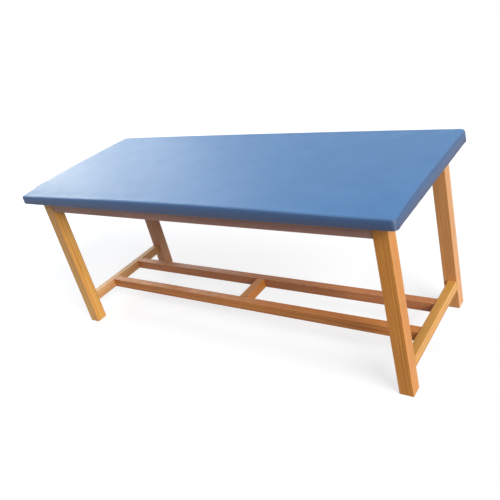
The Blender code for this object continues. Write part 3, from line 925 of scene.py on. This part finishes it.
cover_low, cover_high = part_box("vinyl_cover")
board_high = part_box("top_board")[1]
foam_low, foam_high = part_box("foam_pad")
HALF_LENGTH = cover_high.x - SIDE_SWELL
HALF_WIDTH = cover_high.y - SIDE_SWELL
HALF_SIZE = (HALF_LENGTH, HALF_WIDTH)
RIM = cover_high.z - END_FALL - SIDE_FALL
print("top: half sizes", round(HALF_LENGTH, 4), round(HALF_WIDTH, 4), "rim at", round(RIM, 4))

# %% Slide points onto the rounded form
def rounded(point, half, low, high, corner_radius, edge_radius, under_radius):
    """Moves a point of a sharp block onto the block with rounded corners and edges.

    The form is a smaller core grown by a radius. So the point finds the nearest place on the
    core and then steps out from it by the radius.
    """
    upper = point.z > (low + high) / 2
    radius = edge_radius if upper else under_radius
    level = high - radius if upper else low + radius
    past_level = max(point.z - level, 0) if upper else min(point.z - level, 0)

    core = [math.copysign(min(abs(point[i]), half[i] - corner_radius), point[i]) for i in (0, 1)]
    past = Vector((point.x - core[0], point.y - core[1]))
    kept = corner_radius - radius
    if past.length > kept:
        inner = past.normalized() * kept
        step = Vector((past.x - inner.x, past.y - inner.y, past_level))
        inner_place = Vector((core[0] + inner.x, core[1] + inner.y, point.z - past_level))
    else:
        step = Vector((0, 0, past_level))
        inner_place = Vector((point.x, point.y, point.z - past_level))
    if step.length > 0:
        return inner_place + step.normalized() * radius
    return inner_place


def wrapped(point):
    """The rounded form of the skin, before anything stuffs or pulls it."""
    return rounded(point, HALF_SIZE, cover_low.z, RIM, CORNER_RADIUS, EDGE_RADIUS, UNDER_RADIUS)


def stuffed(point):
    """Crowns the top, swells the sides between the corners and presses the front down."""
    along = point.x / HALF_LENGTH
    across = point.y / HALF_WIDTH
    lift = min(max((point.z - board_high.z) / (RIM - board_high.z), 0), 1)
    swell = SIDE_SWELL * 4 * lift * (1 - lift)
    crown = END_FALL * (1 - along ** 2) + SIDE_FALL * (1 - across ** 2)
    sag = FRONT_FALL * min(across, 0) ** 2
    for depth, place, reach_along, reach_across in SEATS:
        sag += depth * math.exp(-((along - place) / reach_along) ** 2
                                - ((across + 1) / reach_across) ** 2)
    return Vector((point.x + swell * along * (1 - across ** 2),
                   point.y + swell * across * (1 - along ** 2),
                   point.z + lift * (crown - sag)))


sharp_corner = Vector((*HALF_SIZE, RIM))
moved_in = (sharp_corner - wrapped(sharp_corner)).length
print("rounding moves an upper corner in by", round(moved_in / MM, 1), "mm")

# %% Cut a block into rows
EDGE_ROW_SHARES = (0.08, 0.25, 0.5, 0.75, 1.0)


def cut(bm, axis, place):
    """Adds a row of edges where a plane square to the axis meets the block."""
    normal = Vector((0, 0, 0))
    normal[ALONG[axis]] = 1
    bmesh.ops.bisect_plane(bm, geom=bm.verts[:] + bm.edges[:] + bm.faces[:],
                           plane_co=normal * place, plane_no=normal)


def edge_rows(half, radius, extra=()):
    """Rows that follow the rounding at both edges of one direction."""
    rows = [half - share * radius for share in EDGE_ROW_SHARES] + [half - gap for gap in extra]
    return rows + [-row for row in rows]


def even_rows(half, pitch):
    """Rows about one pitch apart, evenly spaced from minus half to half, ends included."""
    number = max(round(2 * half / pitch), 1)
    return [half * (2 * i / number - 1) for i in range(number + 1)]


def start_block(half, low, high):
    """A plain block round the vertical axis, between two heights."""
    bm = bmesh.new()
    size = (2 * half[0], 2 * half[1], high - low)
    bmesh.ops.create_cube(bm, size=1, matrix=Matrix.Diagonal((*size, 1)))
    bmesh.ops.translate(bm, verts=bm.verts, vec=(0, 0, (low + high) / 2))
    return bm


print("edge rows at", [round(share * EDGE_RADIUS / MM, 1) for share in EDGE_ROW_SHARES], "mm")

# %% [markdown]
# ## The skin
# The skin is one sheet: over the top, down the sides and folded in under the board. Between the
# staples the lower edge stays a little slack, the corners carry a pleat where the spare vinyl is
# folded over itself, and the foam gives the top very shallow lumps. These are small, but they
# are what tells a wrapped pad from a moulded block. Real moves of the mesh make them, so they
# show in every light and stay in the finished mesh.

# %% Build the skin
ROW_PITCH = 15.0 * MM
STAPLE_PITCH = 66.0 * MM
SIDE_ROWS = 4
PLEAT_PLACE = 25.0 * MM
PLEAT_TURN = 1.1 * MM
FOLD_LEVEL = cover_low.z + UNDER_RADIUS / 4


def is_inside_fold(point):
    """True under the board, inside the folded strip, where the sheet is open."""
    return (point.z < FOLD_LEVEL and abs(point.x) < HALF_LENGTH - FOLD_WIDTH
            and abs(point.y) < HALF_WIDTH - FOLD_WIDTH)


def build_skin():
    """The sheet as a plain block's shell, cut in rows, open below inside the fold."""
    bm = start_block(HALF_SIZE, cover_low.z, RIM)
    pleats = (PLEAT_PLACE - PLEAT_TURN, PLEAT_PLACE, PLEAT_PLACE + PLEAT_TURN)
    for row in edge_rows(HALF_LENGTH, EDGE_RADIUS, (CORNER_RADIUS,)):
        cut(bm, "x", row)
    for row in edge_rows(HALF_WIDTH, EDGE_RADIUS, (CORNER_RADIUS, *pleats)):
        cut(bm, "y", row)
    for row in even_rows(HALF_LENGTH - FOLD_WIDTH, ROW_PITCH):
        cut(bm, "x", row)
    for row in even_rows(HALF_WIDTH - FOLD_WIDTH, ROW_PITCH):
        cut(bm, "y", row)
    for share in EDGE_ROW_SHARES:
        cut(bm, "z", RIM - share * EDGE_RADIUS)
    for share in EDGE_ROW_SHARES:
        cut(bm, "z", cover_low.z + share * UNDER_RADIUS)
    side_low, side_high = cover_low.z + UNDER_RADIUS, RIM - EDGE_RADIUS
    for number in range(1, SIDE_ROWS):
        cut(bm, "z", side_low + (side_high - side_low) * number / SIDE_ROWS)
    window = [face for face in bm.faces if is_inside_fold(face.calc_center_median())]
    bmesh.ops.delete(bm, geom=window, context="FACES")
    return bm


sheet = build_skin()
print("sheet:", len(sheet.faces), "faces in rows, open below inside the fold")

# %% Pull, pleat and lump
SLACK_DEPTH = 0.7 * MM
PLEAT_FULL_SHARE = 0.35
LUMP_DEPTH = 0.30 * MM
LUMP_SIZE = 110.0 * MM
LUMP_FINENESS = 2.3
FRAY_DEPTH = 1.6 * MM
FRAY_SIZE = 60.0 * MM
FRAY_REACH = 1.2 * FOLD_WIDTH


def fade(value, start, end):
    """A smooth step from 0 at start to 1 at end, which may run downwards."""
    share = min(max((value - start) / (end - start), 0), 1)
    return share * share * (3 - 2 * share)


def side_height(point):
    """0 at the underside and 1 where the upper rounding begins."""
    return min(max((point.z - cover_low.z) / (RIM - EDGE_RADIUS - cover_low.z), 0), 1)


def count_bays(half):
    """How many gaps between staples fit along one side."""
    return round(2 * half / STAPLE_PITCH)


def slack_between_staples(point, along, half):
    """How far the lower edge stands out between two staples of one side."""
    bays = count_bays(half)
    wave = 0.5 - 0.5 * math.cos(math.tau * bays * (along + half) / (2 * half))
    return SLACK_DEPTH * wave * (1 - side_height(point)) ** 2


def pleat_rise(point):
    """The doubled skin at each end's corners, full below and lost under the top edge."""
    beside_corner = HALF_WIDTH - abs(point.y)
    on_end = fade(abs(point.x), HALF_LENGTH - CORNER_RADIUS, HALF_LENGTH - UNDER_RADIUS)
    flap = fade(beside_corner, PLEAT_PLACE + PLEAT_TURN / 2, PLEAT_PLACE - PLEAT_TURN / 2)
    return SKIN_THICKNESS * flap * on_end * fade(side_height(point), 1.0, PLEAT_FULL_SHARE)


def is_near_cut_edge(point):
    """True along the sheet's cut edge, on the inner side of the fold."""
    inner_x = HALF_LENGTH - abs(point.x) > FOLD_WIDTH - MM
    inner_y = HALF_WIDTH - abs(point.y) > FOLD_WIDTH - MM
    return inner_x and inner_y


def dress_skin_point(point):
    """Moves a point of the plain sheet to its place on the wrapped top."""
    formed = wrapped(point)
    moved = stuffed(formed)
    if formed.z > FOLD_LEVEL:
        slack_x = slack_between_staples(formed, formed.y, HALF_WIDTH) + pleat_rise(formed)
        slack_y = slack_between_staples(formed, formed.x, HALF_LENGTH)
        end_share = fade(abs(formed.x), HALF_LENGTH - CORNER_RADIUS, HALF_LENGTH)
        side_share = fade(abs(formed.y), HALF_WIDTH - CORNER_RADIUS, HALF_WIDTH)
        moved.x += math.copysign(slack_x * end_share, formed.x)
        moved.y += math.copysign(slack_y * side_share, formed.y)
        lump = (noise.noise(formed / LUMP_SIZE)
                + 0.5 * noise.noise(formed * LUMP_FINENESS / LUMP_SIZE))
        moved.z += LUMP_DEPTH * lump * side_height(formed)
    elif is_near_cut_edge(formed):
        fray = FRAY_DEPTH * noise.noise(formed / FRAY_SIZE)
        moved.x += fray if abs(formed.x) > HALF_LENGTH - FRAY_REACH else 0
        moved.y += fray if abs(formed.y) > HALF_WIDTH - FRAY_REACH else 0
    return moved


print("slack between staples up to", SLACK_DEPTH / MM, "mm, lumps up to", LUMP_DEPTH / MM, "mm")

# %% Make the skin piece
# How far down the upper rounding the painted light of the top reaches.
LIT_TOP_RIM = 0.45 * EDGE_RADIUS
KNOCK_REACH = 0.7 * CORNER_RADIUS


def edge_stretch_and_shade(point):
    """1 on the upper edges of the block, where the skin is pulled tightest, and 0 away; the blue
    there is painted darker, partly as painted shade on the rounding.
    """
    gaps = sorted((HALF_LENGTH - abs(point.x), HALF_WIDTH - abs(point.y), RIM - point.z))
    return fade(gaps[1], EDGE_RADIUS, 0)


def corner_wear(point):
    """1 on the upright corners of the block, where knocks have scuffed the skin, and 0 away."""
    gap = max(HALF_LENGTH - abs(point.x), HALF_WIDTH - abs(point.y))
    return fade(gap, KNOCK_REACH, 0) * fade(RIM - point.z, 0, EDGE_RADIUS)


def painted_light_by_height(point):
    """0 at the underside, the side share up to the upper rounding and 1 on the top, for painted
    light and shade: the top lit, the sides darker and darkest at the bottom.
    """
    on_top = fade(point.z, RIM - LIT_TOP_RIM, RIM)
    return SIDE_LIGHT_SHARE * side_height(point) + (1 - SIDE_LIGHT_SHARE) * on_top


def make_skin(bm):
    """Writes the wear and painted light masks from the plain sheet's points, then moves the points.
    """
    wear = [[mask(vert.co) for vert in bm.verts] for mask in (edge_stretch_and_shade, painted_light_by_height, corner_wear)]
    for vert in bm.verts:
        vert.co = dress_skin_point(vert.co)
    bmesh.ops.recalc_face_normals(bm, faces=bm.faces)
    skin = finish_piece(bm, "vinyl_skin", blue_vinyl, ["vinyl_cover"])
    for name, values in zip(SKIN_MASKS, wear):
        layer = skin.data.attributes.new(name, "FLOAT", "POINT")
        layer.data.foreach_set("value", values)
    return skin


skin = make_skin(sheet)
print("skin:", len(skin.data.polygons), "faces before subdivision")

# %% [markdown]
# ## Let the cloth settle
# The formula gives the main form, and cloth simulation then evens out the tension: the sheet is
# held where it is stapled below, the foam's push is a gentle pressure from inside, and weight
# plays no part in a sheet this tight. Left alone, the tension would also draw the sheet in at
# the rounded edges, through the foam that really holds it out there. So the inward part of each
# move is dropped, and no point may move by more than a millimetre and a half. The settled shape
# is written back to the mesh, so no simulation is left on it.

# %% Settle the skin
CLOTH_PRESSURE = 4.0
CLOTH_FRAMES = 20
CLOTH_CAP = 1.5 * MM
CLOTH_STIFFNESS = 60
CLOTH_BENDING = 2


def settle(piece):
    """Runs the cloth, keeps a capped share of each move, and returns the largest move."""
    held = piece.vertex_groups.new(name="stapled")
    below = cover_low.z + UNDER_RADIUS
    held.add([v.index for v in piece.data.vertices if v.co.z < below], 1.0, "REPLACE")
    cloth = piece.modifiers.new("tension", "CLOTH")
    cloth.settings.vertex_group_mass = "stapled"
    cloth.settings.use_pressure = True
    cloth.settings.uniform_pressure_force = CLOTH_PRESSURE
    cloth.settings.effector_weights.gravity = 0
    cloth.settings.tension_stiffness = CLOTH_STIFFNESS
    cloth.settings.compression_stiffness = CLOTH_STIFFNESS
    cloth.settings.bending_stiffness = CLOTH_BENDING
    cloth.collision_settings.use_collision = False
    for number in range(1, CLOTH_FRAMES + 1):
        bpy.context.scene.frame_set(number)
    settled = piece.evaluated_get(bpy.context.evaluated_depsgraph_get()).data
    outward = [vert.normal.copy() for vert in piece.data.vertices]
    largest = 0
    for vert, found, normal in zip(piece.data.vertices, settled.vertices, outward):
        move = found.co - vert.co
        move -= normal * min(move.dot(normal), 0)
        largest = max(largest, move.length)
        if move.length > 0:
            vert.co += move * CLOTH_CAP * math.tanh(move.length / CLOTH_CAP) / move.length
    piece.modifiers.remove(cloth)
    piece.vertex_groups.clear()
    bpy.context.scene.frame_set(1)
    return largest


print("skin settled; largest move before the cap", round(settle(skin) / MM, 2), "mm")

# %% Give the skin its thickness
fine = skin.modifiers.new("fine_surface", "SUBSURF")
fine.levels = fine.render_levels = 1
wall = skin.modifiers.new("skin_thickness", "SOLIDIFY")
wall.thickness = SKIN_THICKNESS
wall.offset = -1
print("skin wall:", SKIN_THICKNESS / MM, "mm thick, grown inwards")

# %% [markdown]
# ## Foam
# Under the skin lies one slab of pale foam, cut square and pressed round by the pull of the
# vinyl. It is hidden in every view of the whole plinth, but the pieces come apart for anyone who
# reuses them, so it has its own crowned form and an open-celled surface. The same cutting and
# rounding steps make it, a little smaller all round and with wider rows.

# %% Material: foam
FOAM_CELL = 1.3 * MM
FOAM_CELL_DEPTH = 0.5 * MM
FOAM_CLOUD_SCALE = 22.0


def make_foam_material():
    material, tree = start_material("cream_foam")
    place = object_place(tree)
    cells = put(tree, "TexVoronoi", place, None, 1 / FOAM_CELL, feature="F1").outputs["Distance"]
    clouds = cloud(tree, place, FOAM_CLOUD_SCALE, 3.0)
    colour = mix_colours(tree, ramp(tree, clouds, 0.3, 0.7), shade(232, 218, 178),
                         shade(227, 211, 167))
    # The cell hollows are painted a darker brown as painted shade.
    colour = mix_colours(tree, ramp(tree, cells, 0.55, 0.15, 0.0, 0.5), colour,
                         shade(150, 126, 84))
    finish_surface(tree, Base_Color=colour, Roughness=ramp(tree, clouds, 0.2, 0.8, 0.86, 0.98),
                   Normal=bump(tree, cells, FOAM_CELL_DEPTH))
    return material


cream_foam = make_foam_material()
print("material:", cream_foam.name, "with cells of", FOAM_CELL / MM, "mm")

# %% Build the foam
FOAM_PITCH = 45.0 * MM
FOAM_EDGE_RADIUS = 1.5 * MM


def make_foam():
    """One slab inside the skin, cut, rounded and crowned in the same way."""
    inset = cover_high.x - foam_high.x
    half = (HALF_LENGTH - inset, HALF_WIDTH - inset)
    top = RIM - inset
    bm = start_block(half, foam_low.z, top)
    for axis, reach in zip("xy", half):
        for row in edge_rows(reach, EDGE_RADIUS, (CORNER_RADIUS,)):
            cut(bm, axis, row)
        for row in even_rows(reach - 2 * CORNER_RADIUS, FOAM_PITCH):
            cut(bm, axis, row)
    for share in EDGE_ROW_SHARES:
        cut(bm, "z", top - share * EDGE_RADIUS)
    cut(bm, "z", foam_low.z + FOAM_EDGE_RADIUS)
    for vert in bm.verts:
        vert.co = stuffed(rounded(vert.co, half, foam_low.z, top, CORNER_RADIUS - inset,
                                  EDGE_RADIUS - inset, FOAM_EDGE_RADIUS))
    bmesh.ops.recalc_face_normals(bm, faces=bm.faces)
    foam = finish_piece(bm, "foam_slab", cream_foam, ["foam_pad"])
    return foam


foam = make_foam()
print("foam:", len(foam.data.polygons), "faces")

# %% [markdown]
# ## Steel
# Screws and staples are zinc-plated steel. The plating is a thin crystal skin, so its gloss is
# uneven, and fine rubbing marks run across it. Metal takes nearly all its look from what it
# mirrors, so the colour stays plain and the roughness carries the detail.

# %% Material: plated steel
CRYSTAL_SCALE = 2600.0
RUB_SCALES = (300.0, 4200.0, 4200.0)
RUB_DEPTH = 0.02 * MM


def make_steel():
    material, tree = start_material("plated_steel")
    place = object_place(tree)
    crystals = cloud(tree, place, CRYSTAL_SCALE)
    rubs = drawn_cloud(tree, place, RUB_SCALES, 1.0)
    colour = mix_colours(tree, crystals, shade(176, 174, 166), shade(198, 198, 194))
    finish_surface(tree, Metallic=1.0, Base_Color=colour,
                   Roughness=ramp(tree, crystals, 0.3, 0.7, 0.26, 0.44),
                   Normal=bump(tree, rubs, RUB_DEPTH))
    return material


plated_steel = make_steel()
print("material:", plated_steel.name)

# %% [markdown]
# ## Staples
# The fold of the skin is held by staples, one at the end of every slack bay. A staple is flat
# wire bent twice. Extruding the wire's end face along the straights and spinning it round the
# bends follows how it is made, and needs no boolean or curve.

# %% One staple
STAPLE_CROWN = 10.0 * MM
STAPLE_LEG = 8.0 * MM
STAPLE_BEND = 1.2 * MM
STAPLE_WIRE = (0.6 * MM, 1.2 * MM)
BEND_STEPS = 2
STAPLE_INSET = 22.0 * MM


def moved_face(bm, face, step):
    """Extrudes the wire's end face straight on and returns the new end."""
    grown = bmesh.ops.extrude_face_region(bm, geom=[face])["geom"]
    bmesh.ops.translate(bm, verts=[v for v in grown if isinstance(v, bmesh.types.BMVert)], vec=step)
    return next(item for item in grown if isinstance(item, bmesh.types.BMFace))


def bent_face(bm, face, centre):
    """Spins the wire's end face round a quarter bend and returns the new end."""
    turned = bmesh.ops.spin(bm, geom=[face], cent=centre, axis=(0, 1, 0), angle=-math.pi / 2,
                            steps=BEND_STEPS)["geom_last"]
    return next(item for item in turned if isinstance(item, bmesh.types.BMFace))


def staple_form():
    """A staple with its crown along X just below zero and its legs pointing up."""
    bm = bmesh.new()
    reach = STAPLE_CROWN / 2
    start = Vector((-reach, 0, STAPLE_LEG))
    bmesh.ops.create_grid(bm, x_segments=1, y_segments=1, size=0.5,
                          matrix=Matrix.LocRotScale(start, None, Vector((*STAPLE_WIRE, 1))))
    bm.faces.ensure_lookup_table()
    face = moved_face(bm, bm.faces[0], (0, 0, STAPLE_BEND - STAPLE_LEG))
    face = bent_face(bm, face, (STAPLE_BEND - reach, 0, STAPLE_BEND))
    face = moved_face(bm, face, (STAPLE_CROWN - 2 * STAPLE_BEND, 0, 0))
    face = bent_face(bm, face, (reach - STAPLE_BEND, 0, STAPLE_BEND))
    moved_face(bm, face, (0, 0, STAPLE_LEG - STAPLE_BEND))
    inner = [face for face in bm.faces if all(len(edge.link_faces) > 2 for edge in face.edges)]
    bmesh.ops.delete(bm, geom=inner, context="FACES_ONLY")
    bmesh.ops.recalc_face_normals(bm, faces=bm.faces)
    return close_mesh(bm, "staple_form")


one_staple = staple_form()
print("one staple:", len(one_staple.polygons), "faces")

# %% Staples round the fold
def staple_places():
    """Each staple's place on the fold and its turn about the vertical."""
    places = []
    for half, other, turn in ((HALF_LENGTH, HALF_WIDTH, 0), (HALF_WIDTH, HALF_LENGTH, math.pi / 2)):
        bays = count_bays(half)
        for number in range(1, bays):
            along = half * (2 * number / bays - 1)
            for side in (-1, 1):
                across = side * (other - STAPLE_INSET)
                flat = (along, across) if turn == 0 else (across, along)
                places.append((Vector((*flat, cover_low.z - STAPLE_WIRE[0] / 2)), turn))
    return places


def make_staples(form):
    """All staples as one piece, copied from one form that is then removed."""
    bm = bmesh.new()
    for place, turn in staple_places():
        before = len(bm.verts)
        bm.from_mesh(form)
        bm.verts.ensure_lookup_table()
        bmesh.ops.transform(bm, verts=bm.verts[before:],
                            matrix=Matrix.Translation(place) @ Matrix.Rotation(turn, 4, "Z"))
    bpy.data.meshes.remove(form)
    finish_piece(bm, "fold_staples", plated_steel)


make_staples(one_staple)
print("staples:", len(staple_places()))

# %% [markdown]
# ## Screws
# The frame gives each screw's place, direction and length. The new screw is turned from its
# profile with a full spin, its thread is a small ridge that climbs as it spins, and a tapered
# cross is cut out of the head for the driver.

# %% One screw
HEAD_RADIUS = 4.2 * MM
HEAD_RIM = 0.4 * MM
ROOT_RADIUS = 1.7 * MM
THREAD_RADIUS = 2.3 * MM
THREAD_PITCH = 2.2 * MM
THREAD_HALF_WIDTH = 0.5 * MM
THREAD_FOOT = 0.9 * ROOT_RADIUS
POINT_LENGTH = 6.0 * MM
PLAIN_SHANK = 16.0 * MM
SCREW_STEPS = 24
THREAD_STEPS = 12
RECESS_REACH = 2.3 * MM
RECESS_HALF_WIDTH = 0.7 * MM
RECESS_DEPTH = 1.7 * MM
RECESS_TAPER_SHARE = 0.45


def spin_profile(bm, points, steps, turns=1.0, climb=0.0, closed=False):
    """Spins a line of (radius, height) points about Z, climbing by so much in each turn."""
    verts = [bm.verts.new((radius, 0, height)) for radius, height in points]
    pairs = list(zip(verts, verts[1:])) + ([(verts[-1], verts[0])] if closed else [])
    edges = [bm.edges.new(pair) for pair in pairs]
    number = round(steps * turns)
    made = bmesh.ops.spin(bm, geom=verts + edges, cent=(0, 0, 0), axis=(0, 0, 1),
                          dvec=(0, 0, climb / steps), angle=math.tau * turns, steps=number,
                          use_merge=climb == 0)
    if closed:
        last = [item for item in made["geom_last"] if isinstance(item, bmesh.types.BMEdge)]
        bmesh.ops.contextual_create(bm, geom=edges)
        bmesh.ops.contextual_create(bm, geom=last)


def recess_form():
    """The driver's cross, tapered, standing a little proud of the head's face."""
    bm = bmesh.new()
    corners = []
    for quarter in range(4):
        turn = Matrix.Rotation(quarter * math.pi / 2, 3, "Z")
        for point in ((RECESS_REACH, -RECESS_HALF_WIDTH, -HEAD_RIM),
                      (RECESS_REACH, RECESS_HALF_WIDTH, -HEAD_RIM),
                      (RECESS_HALF_WIDTH, RECESS_HALF_WIDTH, -HEAD_RIM)):
            corners.append(bm.verts.new(turn @ Vector(point)))
    grown = bmesh.ops.extrude_face_region(bm, geom=[bm.faces.new(corners)])["geom"]
    floor = [item for item in grown if isinstance(item, bmesh.types.BMVert)]
    bmesh.ops.scale(bm, verts=floor, vec=(RECESS_TAPER_SHARE, RECESS_TAPER_SHARE, 1))
    bmesh.ops.translate(bm, verts=floor, vec=(0, 0, HEAD_RIM + RECESS_DEPTH))
    bmesh.ops.recalc_face_normals(bm, faces=bm.faces)
    return bm


def screw_body(length):
    """The turned screw without its thread and recess, its head's face at zero, along +Z."""
    shank = THREAD_RADIUS
    cone = HEAD_RIM + HEAD_RADIUS - shank
    bm = bmesh.new()
    spin_profile(bm, [(0, 0), (HEAD_RADIUS - HEAD_RIM / 2, 0), (HEAD_RADIUS, HEAD_RIM / 2),
                      (HEAD_RADIUS, HEAD_RIM), (shank, cone), (shank, PLAIN_SHANK),
                      (ROOT_RADIUS, PLAIN_SHANK + shank), (ROOT_RADIUS, length - POINT_LENGTH),
                      (0, length)], SCREW_STEPS)
    bmesh.ops.remove_doubles(bm, verts=bm.verts, dist=MERGE_DISTANCE)
    bmesh.ops.recalc_face_normals(bm, faces=bm.faces)
    return bm


def with_recess(bm):
    """Cuts the driver's cross out of a screw's head and returns the cut mesh."""
    body = add_object("screw_body", close_mesh(bm, "screw_body"))
    cutter = add_object("screw_recess", close_mesh(recess_form(), "screw_recess"))
    change = body.modifiers.new("recess", "BOOLEAN")
    change.operation, change.solver, change.object = "DIFFERENCE", "EXACT", cutter
    evaluated = body.evaluated_get(bpy.context.evaluated_depsgraph_get())
    form = bpy.data.meshes.new_from_object(evaluated)
    for helper in (body, cutter):
        bpy.data.objects.remove(helper)
    return form


def screw_thread(length):
    """The ridge that climbs from the plain shank to the point."""
    start = PLAIN_SHANK + THREAD_RADIUS
    turns = (length - POINT_LENGTH - start) / THREAD_PITCH
    ridge = [(THREAD_FOOT, start - THREAD_HALF_WIDTH), (THREAD_RADIUS, start),
             (THREAD_FOOT, start + THREAD_HALF_WIDTH)]
    bm = bmesh.new()
    spin_profile(bm, ridge, THREAD_STEPS, turns, THREAD_PITCH, closed=True)
    bmesh.ops.recalc_face_normals(bm, faces=bm.faces)
    return close_mesh(bm, "screw_thread")


def screw_form(length):
    """A whole screw with its head's face at zero and its point at length, along +Z."""
    body, thread = with_recess(screw_body(length)), screw_thread(length)
    bm = bmesh.new()
    bm.from_mesh(body)
    bmesh.ops.dissolve_degenerate(bm, dist=MERGE_DISTANCE, edges=bm.edges)
    bm.from_mesh(thread)
    for mesh in (body, thread):
        bpy.data.meshes.remove(mesh)
    return close_mesh(bm, "screw_form")


print("one screw:", 2 * HEAD_RADIUS / MM, "mm across the head, thread pitch",
      THREAD_PITCH / MM, "mm")

# %% Every screw on its own axis
def screw_axis(node, way):
    """The middle of the screw's head face, and its length, from the node's own points."""
    points = [vert.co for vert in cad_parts[node].data.vertices]
    tip = max(points, key=way.dot)
    length = way.dot(tip) - min(way.dot(point) for point in points)
    return tip - way * length, length


def make_screws():
    """Puts a new screw in each old one's place; screws of one length share their form."""
    forms = {}
    names = sorted(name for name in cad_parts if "_screw" in name)
    for name in names:
        low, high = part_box(name)
        middle = (low + high) / 2
        sideways = Vector((math.copysign(1, middle.x), math.copysign(1, middle.y), 0))
        way = sideways.normalized() if "leg_screw" in name else Vector((0, 0, 1))
        head, length = screw_axis(name, way)
        kind = round(length / MM)
        if kind not in forms:
            forms[kind] = screw_form(length)
        bm = bmesh.new()
        bm.from_mesh(forms[kind])
        turn = Vector((0, 0, 1)).rotation_difference(way)
        bmesh.ops.transform(bm, matrix=Matrix.LocRotScale(head, turn, None), verts=bm.verts)
        finish_piece(bm, name + "_steel", plated_steel, [name])
    for form in forms.values():
        bpy.data.meshes.remove(form)
    return len(names), sorted(forms)


print("screws and their lengths in mm:", make_screws())
